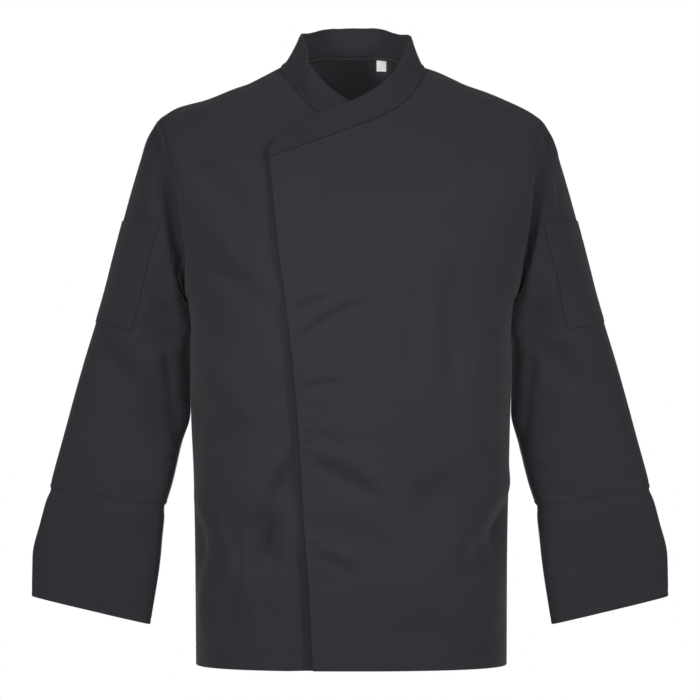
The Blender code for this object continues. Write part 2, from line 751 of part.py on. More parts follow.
def sew_collar(fronts, facings, back, back_facing):
    """The collar stands on the necklines, from the over front round the back to the under one."""
    count = len(FRONT_NECK_SHARES)
    middle = back[-1, SHOULDER_COLUMNS:-SHOULDER_COLUMNS][::-1]
    base = np.concatenate([
        fronts[LEFT][-1, : count - 1],
        middle,
        fronts[RIGHT][-1, : count - 1][::-1],
    ])
    at = np.concatenate([
        FRONT_NECK_SHARES[:-1],
        np.linspace(1, 2, len(middle)),
        3 - np.array(FRONT_NECK_SHARES[::-1])[1:],
    ])
    height = smooth(at, COLLAR["along"], COLLAR["height"])
    lean = smooth(at, COLLAR["along"], COLLAR["lean"])
    from_end = ease(np.minimum(at, 3 - at) / COLLAR_STRAIGHT)
    towards_x = (NECK_AXIS[0] - base[:, 0]) * from_end
    towards_y = NECK_AXIS[1] - base[:, 1]
    inward = unit(np.stack([towards_x, towards_y, 0 * at], axis=1))
    lean_in = inward * lean[:, None]
    share = np.linspace(0, 1, COLLAR_ROWS + 1)[:, None, None]
    band = base + height[:, None] * (share * UPWARD + share**COLLAR_HOLLOW * lean_in)
    facing = normals(band, -1)

    body = np.concatenate([
        facings[LEFT][-1, : count - 1],
        back_facing[-1, SHOULDER_COLUMNS:-SHOULDER_COLUMNS][::-1],
        facings[RIGHT][-1, : count - 1][::-1],
    ])
    start = seam_normal(facing[0], body)
    body = seam_normal(body, facing[0])
    facing[0] = start
    facings[LEFT][-1, :count] = body[:count]
    back_facing[-1, SHOULDER_COLUMNS:-SHOULDER_COLUMNS] = body[count - 1 : 1 - count][::-1]
    facings[RIGHT][-1, :count] = body[-count:][::-1]
    wall("collar", drawn_back(band, ("bottom",)), facing, BAND_WALL, -1, "band")


def build_jacket():
    outline = lap_outline()
    fronts, facings = {}, {}
    for side in (LEFT, RIGHT):
        fronts[side], facings[side] = make_front(side, outline)
    back, back_facing = make_back()
    for side in (LEFT, RIGHT):
        sew_body(side, fronts[side], facings[side], back, back_facing)
    for side in (LEFT, RIGHT):
        sew_sleeve(side, fronts[side], facings[side], back, back_facing)
    sew_collar(fronts, facings, back, back_facing)

    sewn = ("top", "right")
    wall("left_front", drawn_back(fronts[LEFT], sewn), facings[LEFT], WALL, 1, "cloth")
    wall("right_front", drawn_back(fronts[RIGHT], sewn), facings[RIGHT], WALL, -1, "cloth")
    wall("back", drawn_back(back, ("top", "right", "left")), back_facing, WALL, -1, "cloth")
    size_label(back, back_facing)


for old in list(bpy.data.objects):
    bpy.data.objects.remove(old, do_unlink=True)
build_jacket()
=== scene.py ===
"""The look of a chef jacket: fine cloth shells with their creases, seams and stitching.

Every piece of cloth is worked out from the jacket's own sizes, in millimetres, as a fine grid of
points with the cloth's outer face on them. The big folds come first, then the creases, then the
dips at seams and stitched lines. The front faces -Y and the wearer's left is +X.
"""

import math

import bpy
import numpy as np
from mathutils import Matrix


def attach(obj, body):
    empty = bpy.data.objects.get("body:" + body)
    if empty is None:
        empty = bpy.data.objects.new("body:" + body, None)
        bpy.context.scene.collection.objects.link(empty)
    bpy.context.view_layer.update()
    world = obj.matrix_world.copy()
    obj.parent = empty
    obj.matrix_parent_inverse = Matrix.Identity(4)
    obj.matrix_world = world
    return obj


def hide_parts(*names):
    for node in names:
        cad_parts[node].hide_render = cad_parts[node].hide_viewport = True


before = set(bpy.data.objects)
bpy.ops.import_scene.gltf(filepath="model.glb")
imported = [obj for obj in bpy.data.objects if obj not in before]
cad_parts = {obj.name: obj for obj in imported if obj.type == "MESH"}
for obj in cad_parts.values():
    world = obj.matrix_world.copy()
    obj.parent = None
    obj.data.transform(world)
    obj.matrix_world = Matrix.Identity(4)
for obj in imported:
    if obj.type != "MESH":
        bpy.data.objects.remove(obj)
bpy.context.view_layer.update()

MM = 0.001
LEFT, RIGHT = 1, -1
FRONT, BACK = -1, 1

# ---- sizes, millimetres

CLOTH = 0.9  # one layer of twill
HEM_CLOTH = 1.8  # the turned-up hem and the folded front edge
BAND_CLOTH = 2.2  # collar and cuffs, with their stiffening
PATCH_CLOTH = 1.0
LABEL_CLOTH = 0.35
PATCH_GAP = 0.35  # between a pocket and the sleeve
LABEL_GAP = 0.7
LAP_DROP = 6.6  # how far the under front lies inside the over front, at the top
LAP_DROP_LOW = 9.5  # and near the hem
LAP_LOW = (-200, -560)  # heights between which that changes
LAP_CLEAR = 8  # it is fully down this far outside the over front's edge
LAP_RUN = 27  # and starts to go down this much further out
HEM = -762
ARMPIT = -297
ARCH = 230  # height over which front and back close to the shoulder ridge
ARM_DEPTH = 76
ARM_RISE = 150
ARM_FORM = 60
ARM_LEAD = 90  # away from the side, the cloth starts to widen for the arm this far lower
ARM_FORM_LEAD = 1.6  # that lead's weight in the height over which the side turns into an armhole
ARM_EDGE = 12  # and how close to the side that still holds
SEAM_FORWARD = 26  # how far the shoulder seam lies in front of the ridge
NECK_MID = 3.5
NECK_OUT = 89.5
NECK_BACK = 60
NECK_AXIS = (4, -10)  # what the collar leans towards
COLUMNS_LOW = -450  # below this, the cut's columns share the width as they do at the hem
ACROSS_POWER = 2.6  # the higher these powers, the fuller the oval
SIDE_POWER = 2.3
ARM_POWER = 1.5
ARCH_POWER = 2.4
COLLAR_STRAIGHT = 0.5  # how far from its ends the collar leans straight back
COLLAR_HOLLOW = 0.75  # below 1, its foot leans more than its top
COLLAR_CREASE = (2.27, 0.07, 8)  # place along, half width along, and depth
COLLAR_FREE = 14  # above the seam, where that crease is fully there
COLLAR_WAVE = (0.5, 34, 12)  # its unevenness: height, size, and where it is fully there

# The cut's own divisions: rows from the hem up, columns from the front edge or the middle out.
LOW_ROWS = 19
BACK_ROWS = 11
SHOULDER_COLUMNS = 8
BACK_NECK_COLUMNS = 6
FRONT_NECK_SHARES = (0, 0.03, 0.07, 0.12, 0.2, 0.3, 0.4, 0.5, 0.6, 0.7, 0.79, 0.87, 0.94, 1)
FRONT_NECK_COLUMNS = len(FRONT_NECK_SHARES) - 1
FINE = 240  # points on a line that is measured or shared out
TRIES = 12  # rounds in which a height and its place across settle
STEP = 3.8  # the usual distance between two points of the cloth
CLOSE = (-3.4, -2.0, -1.0, -0.35, 0.35, 1.0, 2.0, 3.4)  # and where they lie beside a stitched line

# Stitched lines, by their distances from an edge or a seam.
HEM_STITCH = 25
EDGE_STITCH = 7
COLLAR_STITCHES = (2.2, 5.5)  # above the neck seam, and below the top edge
CUFF_STITCHES = (2.2, 8.8)  # above the seam of the cuff, on the sleeve
CUFF_END_STITCH = 6.5
HEM_PAST, EDGE_PAST = 1.5, 3  # how far the turned-in cloth goes past its stitches
TURN_RUN = 2  # over which its thickness goes
SHOULDER_STITCH = 3
POCKET_STITCH = 2.2
POCKET_HEM_STITCH = 24
STITCH = 2.6
STITCH_PITCH = 3.3
THREAD = 0.42
THREAD_SUNK = 0.12  # how deep a stitch's ends go into the cloth
SEAM_DIP = 0.9
SEAM_DIP_RUN = 1.9
SEAM_END = 3  # a top seam's dip stops this far from the side
SEAM_CALM = 10  # folds fade away this close to a seam, to an armhole and to the cuff's seam
ARMHOLE_CALM = 5
CUFF_CALM = 14
SEAM_FADED, SEAM_CLEAR = 0.45, 0.62  # shares of the over front's neck seam between which it fades
SEAM_FAINT = 0.12  # and what is left of it
CUFF_DIP = 2.2  # the sleeve drops into the cuff's seam, and the cuff comes back slowly
CUFF_DIP_RUN = (2.8, 10)
STITCH_DIP = 0.3
STITCH_DIP_RUN = 1.3
GROOVE_ACROSS = {LEFT: (10, 13), RIGHT: (16, 18)}  # where on the sleeve it is deepest, and its run
GROOVE_RUN = 7  # of the groove at the front of the armhole on the body
PUCKER = 0.22
PUCKER_RUN = 5.5
PUCKER_SIZE = 8
UNEVEN = {"front": 0.9, "back": 0.9, "sleeve": 0.8, "cuff": 0.4}
SWELLS = (62, 23)  # sizes of the cloth's swells, wide and small
SMALL_SWELLS = 0.34
SEED = {
    "front": 3, "back": 11, "sleeve": 21, "cuff": 31, "front_hem": 41, "front_edge": 43, "back_hem": 47,
    "shoulder": 48, "cuff_seam": 51, "cuff_end": 57, "collar": 61, "collar_low": 62, "collar_top": 63,
    "pocket_sides": 71, "pocket_hem": 75,
}
FAR = 99  # a distance at which a stitched line no longer shows


def table(names, *rows):
    """A short table: {column name: its values}."""
    return {n: np.array(c, float) for n, c in zip(names.split(), zip(*rows))}


OUTER = {
    LEFT: table(
        "height out",
        (HEM, 200.5), (-640, 201), (-523, 203), (-443, 205), (-349, 207.5), (-320, 209.5),
        (ARMPIT, 213), (-265, 219), (-232, 225), (-207, 230), (-178, 234), (-133, 237.5),
        (-97, 240.5), (-69, 247),
    ),
    RIGHT: table(
        "height out",
        (HEM, 197), (-640, 198), (-523, 200), (-443, 203.5), (-349, 205), (-320, 207),
        (ARMPIT, 210), (-272, 211), (-213, 214), (-188, 217), (-158, 221), (-134, 225),
        (-102, 232), (-83, 237), (-66, 245),
    ),
}
EDGE = table(
    "height past",
    (HEM, 46), (-661, 51), (-586, 56.5), (-424, 67), (-303, 80), (-236, 89), (-176, 95), (-119, 101),
)
NECKLINE = {
    LEFT: table(
        "out height",
        (-101, -119), (-63, -106), (-37, -96), (-6, -83.5), (20, -73), (37, -66), (58, -54),
        (76, -36), (88, -16), (93, -6),
    ),
    RIGHT: table(
        "out height",
        (-101, -120), (-63, -107), (-37, -97), (-6, -85), (13, -75), (33.5, -61), (52.5, -46),
        (66, -32), (79, -16), (86, -5),
    ),
}
SHOULDER = {
    LEFT: table(
        "across height",
        (93, 1), (111, -5), (133, -15), (148, -22), (174, -31), (198, -41), (230, -56.5), (247, -68.5),
    ),
    RIGHT: table(
        "across height",
        (-245, -66), (-220, -51), (-184, -41), (-146, -26), (-131, -21), (-111, -11), (-86, 2),
    ),
}
NECK_ROOT = {
    FRONT: table("across height", (-86, 2), (-45, 14), (4, 18), (52, 14), (93, 1)),
    BACK: table(
        "across height",
        (-86, 2), (-72, 8), (-58, 19), (-42, 33), (-22, 44), (4, 49),
        (30, 44), (49, 33), (65, 18), (79, 7), (93, 1),
    ),
}
DEPTH = table(
    "height front back",
    (HEM, 128, 118), (-640, 127, 116), (-523, 127, 114), (-443, 129, 117), (-349, 133, 123),
    (ARMPIT, 135, 127), (-250, 134, 130), (-200, 130, 131), (-150, 122, 128), (-110, 112, 122),
    (-60, 99, 112), (0, 82, 100), (30, 76, 95),
)
COLLAR = table(
    "along height lean",
    (0, 13, 0.52), (0.03, 19, 0.52), (0.07, 25, 0.52), (0.12, 30, 0.50), (0.2, 33.5, 0.44),
    (0.3, 33.5, 0.34), (0.4, 32.5, 0.24), (0.5, 33.5, 0.20), (0.6, 36, 0.26), (0.7, 39, 0.32),
    (0.8, 41, 0.37), (0.93, 40.5, 0.40), (1, 39.5, 0.41), (1.15, 38.2, 0.38), (1.3, 36.8, 0.30),
    (1.5, 38, 0.27), (1.67, 36.5, 0.33), (1.83, 38.2, 0.48), (1.92, 39.2, 0.57), (2, 42, 0.62),
    (2.1, 43, 0.58), (2.22, 38.5, 0.42), (2.32, 36.5, 0.32), (2.42, 35.5, 0.34), (2.55, 36, 0.50),
    (2.8, 36, 0.64), (2.93, 33, 0.66), (3, 13, 0.66),
)
SLEEVE = table(
    "outer_x outer_z left_x right_x inner_z depth back square",
    (260, -92, 212.7, 210.4, -311, 65, 2, 2.0),
    (268.3, -118, 210.4, 208.0, -322, 66, 6, 2.0),
    (279.1, -153, 209.2, 206.8, -332, 67, 11, 2.0),
    (290.8, -194, 208.5, 206.0, -341, 67, 16, 2.0),
    (304, -243, 208.0, 205.5, -350, 65, 20, 2.0),
    (315, -286, 207.7, 205.3, -360, 62, 22, 2.0),
    (326.6, -326, 207.4, 205.0, -374, 58, 23, 2.1),
    (341.2, -374, 206.8, 204.5, -402, 52, 22, 2.2),
    (355.2, -424, 206.6, 204.8, -440, 46, 20, 2.3),
    (369, -476, 216.6, 216.4, -483, 40, 15, 2.3),
    (378.6, -512, 227.6, 226.6, -528, 34, 9, 2.4),
    (385.3, -539, 237.2, 235.4, -561, 29, 3, 2.5),
    (396, -580, 241.4, 239.3, -594, 25, -1, 2.6),
    (406, -624, 246.2, 243.6, -638, 21, -4, 2.7),
    (407, -674.6, 257.4, 255.2, -710.6, 17, -6, 2.8),
)
GROOVE = table(  # at the front of the armhole
    "height deep", (-300, 0), (-274, 8), (-245, 13), (-165, 13), (-135, 8), (-105, 3), (-70, 0)
)
CUFF_ROW = 11
LAST_ROW = len(SLEEVE["depth"]) - 1
CAP_ROWS = 5
INNER_FRONT = table(  # how much squarer the sleeve is at its inner front, and how far it bulges in
    "row square bulge",
    (-0.9, 0, 0), (-0.2, 0.2, 7), (2.6, 2.0, 7), (4.5, 2.6, 0), (5.4, 2.4, 0), (7, 1.2, 0), (8.3, 1.2, 0),
    (9.6, 2.4, 0), (11, 2.2, 0), (13.5, 0, 0),
)
INNER_BULGE = (-32, 16)  # y of its middle, and its half width
BULGE_EASE = 0.4
ARMHOLE_ROWS = 3
# Rough lengths of a row of the sleeve, of its first one, and of the cuff's first and last.
ROW_LENGTH, FIRST_ROW, CUFF_FIRST_ROW, CUFF_LAST_ROW = 40, 16, 46, 52

# A sleeve pocket's edges: shares of the armhole's front and back, and then heights on the outside
# of the arm, how far out that is, and how much the edge falls for each millimetre inwards.
POCKET_AROUND = (0.63, 0.687)
POCKET_TOP = (-196, 290, 0.135)
POCKET_BOTTOM = (-325, 324, 0.2)
POCKET_DEEP = 131  # its rough height
POCKET_STEP = 3.2
POCKET_CLOSE = 0.33  # closeness of its columns beside its sides
LABEL_ROWS = (29.37, 29.95)
LABEL_COLUMNS = (1.38, 1.96)
LABEL_POINTS = 14  # along and across

# Folds and creases, from one point to another, seen from the front or from behind. bow is how far
# the middle stands above the straight line, width is from foot to foot, a trough has its height
# below 0, and lip is the ridge beside it, on its upper or left side, as a share of its depth.
CREASE_COLUMNS = "x0 z0 x1 z1 bow width height lip"
CREASE_PAST = 0.1  # how far past its ends a crease runs out, and over how much, as shares of it
CREASE_FADE = 0.4
CREASE_ENDS = 0.6  # its width at the ends
LIP_AWAY, LIP_WIDTH = 1.9, 1.1  # in half widths of the trough
FACE_ON = 0.35  # where the cloth's direction has less of front or back in it, creases fade away
FRONT_CREASES = {
    LEFT: table(
        CREASE_COLUMNS,
        (-74, -312, -29, -294, -2, 12, -3, 0.8), (-70, -354, 29, -297, 6, 13, -3.8, 0.7),
        (-64, -410, -9, -402, 1, 11, -2.6, 0.7), (-62, -452, -35, -450, 0, 8, -1.7, 0.7),
        (-62, -466, -47, -465, 0, 7, -1.4, 0.6), (-48, -466, -8, -481, 0, 20, -2.8, 0.5),
        (-62, -480, -44, -476, 0, 7, -1.5, 0.6), (-68, -492, -41, -490, 1, 7, -1.9, 0.6),
        (-55, -497, 40, -548, -1, 25, -7, 0.6), (-55, -533, -28, -532, 0, 11, -1.6, 0.6),
        (-61, -577, 51, -607, 0, 36, -5, 0.5), (-58, -601, -37, -612, 0, 10, -2.4, 0.6),
        (-48, -618, 7, -643, 2, 16, -3.8, 0.8), (-49, -643, -16, -650, 0, 15, -1.6, 0.4),
        (143, -645, 253, -546, -1, 60, -20, 0.3), (80, -413, 84, -273, 1, 26, -3.6, 0),
        (128, -436, 133, -243, -1, 40, -7, 0), (79, -533, 171, -588, 2, 80, -13, 0.4),
        (69, -698, 107, -721, 0, 36, -3.4, 0.4), (17, -723, 158, -730, 4, 30, -2, 0.5),
        (143, -139, 200, -99, 2, 34, -5.6, 0.6), (108, -204, 153, -221, 0, 44, -2.4, 0.4),
        (-58, -180, 4, -158, 2, 50, -2, 0.3),
    ),
    RIGHT: table(
        CREASE_COLUMNS,
        (-218, -105, -121, -195, -1, 40, -7, 0.5), (-222, -232, -151, -270, 2, 40, -8, 0.7),
        (-164, -259, -86, -330, 2, 30, -4.4, 0.6), (-201, -381, -161, -363, 0, 44, 3.4, 0),
        (-223, -431, -144, -483, 2, 60, -9, 0.4), (-171, -681, -169, -512, -4, 40, -6, 0),
        (-241, -579, -144, -650, 4, 70, -12, 0.4), (-148, -652, -146, -732, 2, 28, -5, 0.4),
        (-118, -667, -72, -491, 4, 26, -8, 0.7), (-134, -562, -81, -639, -2, 56, -12, 0.3),
        (-186, -727, -184, -525, 1, 20, 4.4, 0), (-108, -674, -98, -724, 2, 24, -3, 0.4),
        (-179, -442, -123, -469, 0, 36, -3, 0.4),
    ),
}
BACK_CREASES = table(
    CREASE_COLUMNS,
    (112, -340, 204, -244, 5, 40, -6, 0.6), (140, -300, 206, -214, 4, 22, -3, 0.5),
    (-204, -250, -104, -352, -6, 42, -6.4, 0.6), (-206, -214, -136, -300, -5, 22, -3, 0.5),
    (136, -640, 150, -430, 5, 40, -6, 0.4), (-160, -680, -142, -410, -6, 44, -5.6, 0.4),
    (30, -720, 46, -470, 5, 46, -4.4, 0.6), (-58, -720, -42, -440, -5, 44, -4.6, 0.5),
    (-66, -84, 74, -88, -4, 44, -3.4, 0.6), (-118, -112, -30, -146, 6, 30, -2, 0.4),
    (36, -142, 124, -108, 6, 30, -2, 0.4), (104, -570, 174, -520, 4, 26, -3, 0.5),
    (-180, -545, -100, -600, -4, 26, -3, 0.5), (156, -744, 178, -650, 3, 28, -3, 0.4),
    (-92, -748, -80, -680, -2, 26, -2.2, 0.4),
)
SLEEVE_CREASES = {
    LEFT: table(
        CREASE_COLUMNS,
        (249, -79, 256, -119, 0, 13, -3.6, 0.9), (256, -142, 256, -191, 0, 9, 2.8, 0),
        (257, -336, 264, -234, 1, 12, 2.2, 0), (231, -364, 247, -297, 2, 40, -8, 0.2),
        (228, -419, 234, -361, 0, 16, -4, 0.5), (221, -480, 229, -412, 0, 16, -3, 0.5),
        (242, -353, 290, -414, 5, 40, -8, 0.5), (249, -483, 257, -404, 2, 34, -4, 0.4),
        (224, -512, 248, -506, 1, 10, -2.4, 0.6), (323, -550, 373, -522, 2, 30, -2.6, 0.4),
        (255, -542, 303, -555, 2, 26, -3, 0.4), (268, -585, 296, -656, 2, 30, -2.4, 0.3),
        (338, -605, 361, -681, 2, 34, -2.2, 0.3),
    ),
    RIGHT: table(
        CREASE_COLUMNS,
        (240, -109, 248, -76, 0, 12, -3.8, 0.9), (253, -198, 254, -140, 0, 9, 2.8, 0),
        (258, -297, 275, -358, 1, 16, 3.6, 0), (229, -364, 244, -297, 1, 40, -8, 0.2),
        (228, -422, 234, -361, 0, 16, -4, 0.5), (220, -483, 229, -414, 0, 16, -3, 0.5),
        (269, -416, 315, -352, -5, 38, -8, 0.5), (242, -483, 254, -394, 2, 36, -3.6, 0.4),
        (216, -500, 238, -501, 1, 10, -2.4, 0.6), (327, -559, 372, -521, 2, 30, -2.6, 0.4),
        (252, -540, 303, -552, 2, 26, -3, 0.4), (248, -572, 278, -644, 2, 30, -2.8, 0.3),
        (340, -600, 361, -676, 2, 34, -2.2, 0.3),
    ),
}
SLEEVE_BACK_CREASES = table(
    CREASE_COLUMNS,
    (244, -210, 254, -110, 2, 28, -5, 0.4), (236, -320, 262, -210, -3, 26, -5, 0.4),
    (222, -340, 296, -398, 6, 34, -5.6, 0.6), (240, -384, 322, -414, -5, 24, -3, 0.6),
    (226, -432, 318, -446, 5, 30, -4.4, 0.6), (262, -466, 340, -474, 3, 20, -2.2, 0.5),
    (230, -506, 306, -484, -4, 26, -4, 0.6), (300, -480, 344, -530, 4, 28, -2.4, 0.4),
    (258, -690, 270, -600, 3, 24, -2, 0.4),
)


# ---- small tools


def smooth(at, xs, ys):
    """A smooth curve through a table's points that never runs past them, level outside."""
    step = np.diff(ys) / np.diff(xs)
    both = step[1:] * step[:-1]
    total = np.where(both > 0, step[1:] + step[:-1], 1)
    slope = np.concatenate([step[:1], np.where(both > 0, 2 * both / total, 0), step[-1:]])
    at = np.clip(at, xs[0], xs[-1])
    k = np.clip(np.searchsorted(xs, at) - 1, 0, len(xs) - 2)
    width = xs[k + 1] - xs[k]
    s = (at - xs[k]) / width
    start = ys[k] * (1 + 2 * s) + slope[k] * width * s
    end = ys[k + 1] * (3 - 2 * s) - slope[k + 1] * width * (1 - s)
    return start * (1 - s) ** 2 + end * s * s


def read(rows, at, column):
    """A table's column, by its smooth curve, at places in the table's first column."""
    return smooth(at, next(iter(rows.values())), rows[column])


def ease(at):
    """0 to 1 with level ends, for 0 to 1."""
    at = np.clip(at, 0, 1)
    return at * at * (3 - 2 * at)


def bell(at):
    """1 at 0, falling softly to both sides."""
    return np.exp(-(at**2))


def unit(v):
    return v / np.maximum(np.linalg.norm(v, axis=-1, keepdims=True), 1e-9)


def along(line):
    """The length along a line of points, at each of them."""
    steps = np.linalg.norm(np.diff(line, axis=0), axis=-1)
    return np.concatenate([np.zeros((1, *steps.shape[1:])), np.cumsum(steps, axis=0)])


def at_length(line, lengths, at):
    """Points of a line at given lengths along it."""
    return np.stack([np.interp(at, lengths, line[:, k]) for k in range(line.shape[1])], axis=1)


def spaced(start, stop, step, lines=(), size=1.0):
    """Places from start to stop, a step apart, and closer beside each line; size is 1 mm's."""
    near = [line + off * size for line in lines for off in CLOSE]
    near = [place for place in near if start < place < stop]
    reach = CLOSE[-1] * size + step / 3
    even = np.linspace(start, stop, round((stop - start) / step) + 1)
    kept = [e for e in even[1:-1] if all(abs(e - line) > reach for line in lines)]
    return np.array(sorted([start, *near, *kept, stop]))


def lattice_noise(x, y, size, seed):
    """Soft noise between -1 and 1 over two lengths, with bumps about size across."""
    values = np.random.default_rng(seed).uniform(-1, 1, (64, 64))
    u, v = x / size, y / size
    i, j = np.floor(u).astype(int), np.floor(v).astype(int)
    s, t = ease(u - i), ease(v - j)
    low = values[i % 64, j % 64] * (1 - s) + values[(i + 1) % 64, j % 64] * s
    high = values[i % 64, (j + 1) % 64] * (1 - s) + values[(i + 1) % 64, (j + 1) % 64] * s
    return low * (1 - t) + high * t


# ---- the form of the body


def outer_edge(side, z):
    return read(OUTER[side], z, "out")


def front_edge(z):
    """Where a front ends past the middle, measured outwards on its own side."""
    return -read(EDGE, z, "past")


def ridge(x, face):
    """The height at which a slope of the shoulders, or of the neck's root, closes."""
    left, right = SHOULDER[LEFT], SHOULDER[RIGHT]
    height = read(NECK_ROOT[face], x, "height")
    height = np.where(x >= left["across"][0], read(left, x, "height"), height)
    return np.where(x <= right["across"][-1], read(right, x, "height"), height)


def swell(x, z, face):
    """How far the cloth stands from the shoulder line before the shoulders close it."""
    out = np.where(x > 0, outer_edge(LEFT, z), outer_edge(RIGHT, z))
    share = np.minimum(np.abs(x) / out, 1)
    inside = 1 - share**ARM_EDGE
    rise = np.clip((z - ARMPIT) / ARM_RISE, 0, 1)
    at_arm = ARM_DEPTH * np.sqrt(1 - (1 - rise) ** 2)
    soft_rise = ease((z - ARMPIT + ARM_LEAD) / (ARM_RISE + ARM_LEAD))
    at_arm = at_arm + (ARM_DEPTH * soft_rise - at_arm) * inside
    middle = read(DEPTH, z, "front" if face == FRONT else "back")
    lead = ARM_LEAD * inside
    form = ease((z - ARMPIT + lead) / (ARM_FORM + ARM_FORM_LEAD * lead))
    power = SIDE_POWER + (ARM_POWER - SIDE_POWER) * form
    return at_arm + (middle - at_arm) * (1 - share**ACROSS_POWER) ** (1 / power)


def rounded(at):
    """1 to 0 along a quarter of a full oval, for 0 to 1."""
    return (1 - at**ARCH_POWER) ** (1 / ARCH_POWER)


def arch(x, z, face):
    """1 below the shoulders, falling to 0 at their ridge."""
    return rounded(np.clip((z - ridge(x, face)) / ARCH + 1, 0, 1))


def height_at(x, y):
    """The height of the shoulders, or of the neck's root, at a place seen from above."""
    face = FRONT if y < 0 else BACK
    z = ridge(x, face)
    for _ in range(TRIES):
        share = np.minimum(abs(y) / swell(x, z, face), 1)
        z = ridge(x, face) + ARCH * (rounded(share) - 1)
    return float(z)


# ---- places of the fine grid in the cut's own divisions

LOW_Z = spaced(HEM, ARMPIT, STEP, (HEM, HEM + HEM_STITCH))
UPPER = 300  # the rough length of cloth from the armpit's height to a top seam
NEAR_SEAM = (0.6, 1.4, 2.6, 4.2, 6.4, 9.2)
UP_AT = np.concatenate([
    np.linspace(0, 1 - (NEAR_SEAM[-1] + 3) / UPPER, round(UPPER / STEP)),
    1 - np.array(NEAR_SEAM[::-1]) / UPPER,
    [1],
])
LOW_COUNT = len(LOW_Z)  # rows up to the armpit, with it
COLUMN_STEP = 0.25
SHOULDER_AT = np.concatenate([
    np.arange(0, SHOULDER_COLUMNS - 0.5, COLUMN_STEP),
    SHOULDER_COLUMNS - np.array((0.38, 0.22, 0.12, 0.05, 0)),
])
SHOULDER_COUNT = len(SHOULDER_AT)
FRONT_EDGE_AT = np.linspace(0, 1, 13)[:-1]  # the columns between the front edge and the next
FRONT_AT = np.concatenate([
    FRONT_EDGE_AT, np.arange(1, FRONT_NECK_COLUMNS, COLUMN_STEP), FRONT_NECK_COLUMNS + SHOULDER_AT,
])
BACK_AT = np.concatenate([
    np.arange(0, BACK_NECK_COLUMNS, COLUMN_STEP), BACK_NECK_COLUMNS + SHOULDER_AT,
])
FRONT_LAST = FRONT_NECK_COLUMNS + SHOULDER_COLUMNS
BACK_LAST = BACK_NECK_COLUMNS + SHOULDER_COLUMNS


def row_places(top_rows):
    low = (LOW_Z[:-1] - HEM) / (ARMPIT - HEM) * LOW_ROWS
    return np.concatenate([low, LOW_ROWS + UP_AT * top_rows])


def column(side, face, low, top_x, shoulder, end):
    """Points from the hem to end = (height, whether past the ridge).

    low is the share of the width at the hem, top_x the place across at the top, and shoulder,
    where it isn't None, the share of the shoulder seam instead.
    """
    neck_x = side * (NECK_MID + side * NECK_OUT)

    def across(z):
        out = outer_edge(side, z)
        inside = front_edge(z) if face == FRONT else side * NECK_MID + 0 * z
        at_hem = inside + (out - inside) * low
        at_top = side * top_x if shoulder is None else neck_x + (out - neck_x) * shoulder
        if shoulder is None and low == 0 and face == FRONT:
            at_top = inside
        return side * (at_hem + (at_top - at_hem) * ease((z - COLUMNS_LOW) / (end[0] - COLUMNS_LOW)))

    x = across(LOW_Z)
    lower = np.stack([x, face * swell(x, LOW_Z, face), LOW_Z], axis=1)

    top = ridge(across(np.array(end[0])), face)
    reach = math.asin((end[0] - ARMPIT) / (top - ARMPIT)) / (math.pi / 2)
    s = np.linspace(0, 2 - reach if end[1] else reach, FINE)
    z = np.full(FINE, float(ARMPIT))
    for _ in range(TRIES):
        x = across(z)
        z = ARMPIT + (ridge(x, face) - ARMPIT) * np.sin(s * math.pi / 2)
    near = face * swell(x, z, face) * arch(x, z, face)
    past = -face * swell(x, z, -face) * arch(x, z, -face)
    upper = np.stack([x, np.where(s <= 1, near, past), z], axis=1)
    length = along(upper)
    return np.concatenate([lower[:-1], at_length(upper, length, UP_AT * length[-1])])


def hem_shares(side, face, at):
    """Shares of the width at the hem for shares of the way round it."""
    inside = front_edge(np.array(HEM)) if face == FRONT else side * NECK_MID
    out = outer_edge(side, np.array(HEM))
    share = np.sin(np.linspace(0, math.pi / 2, FINE))
    x = inside + (out - inside) * share
    line = np.stack([x, swell(side * x, np.full(FINE, float(HEM)), face)], axis=1)
    length = along(line)
    return np.interp(at * length[-1], length, share)


def neck_line(side):
    """A front's neckline: places across and their lengths along it, from 0 to 1."""
    out = np.linspace(*NECKLINE[side]["out"][[0, -1]], FINE)
    z = read(NECKLINE[side], out, "height")
    y = swell(side * out, z, FRONT) * arch(side * out, z, FRONT)
    length = along(np.stack([out, y, z], axis=1))
    return out, z, length / length[-1]


def neck_share(at):
    """A share of the neckline's length for a column's place."""
    return np.interp(at, np.arange(FRONT_NECK_COLUMNS + 1), FRONT_NECK_SHARES)


def shoulder_column(side, face, low, share):
    """A column that ends on the shoulder seam, which lies in front of the ridge."""
    neck_x = NECK_MID + side * NECK_OUT
    tip_x = side * OUTER[side]["out"][-1]
    z = height_at(neck_x + (tip_x - neck_x) * share, -SEAM_FORWARD)
    return column(side, face, low, None, share, (z, face == BACK))


def front_grid(side):
    """The points of one front: rows from the hem up, columns from the front edge out."""
    out, z, length = neck_line(side)

    def line(at):
        low = float(hem_shares(side, FRONT, np.array(at / FRONT_LAST)))
        if at >= FRONT_NECK_COLUMNS:
            share = (at - FRONT_NECK_COLUMNS) / SHOULDER_COLUMNS
            return shoulder_column(side, FRONT, low, share)
        share = neck_share(at)
        end = (float(np.interp(share, length, z)), False)
        return column(side, FRONT, low, side * np.interp(share, length, out), None, end)

    edge, second = line(0), line(1)
    near = [edge * (1 - at) + second * at for at in FRONT_EDGE_AT]
    return np.stack(near + [line(at) for at in FRONT_AT[len(near):]], axis=1)


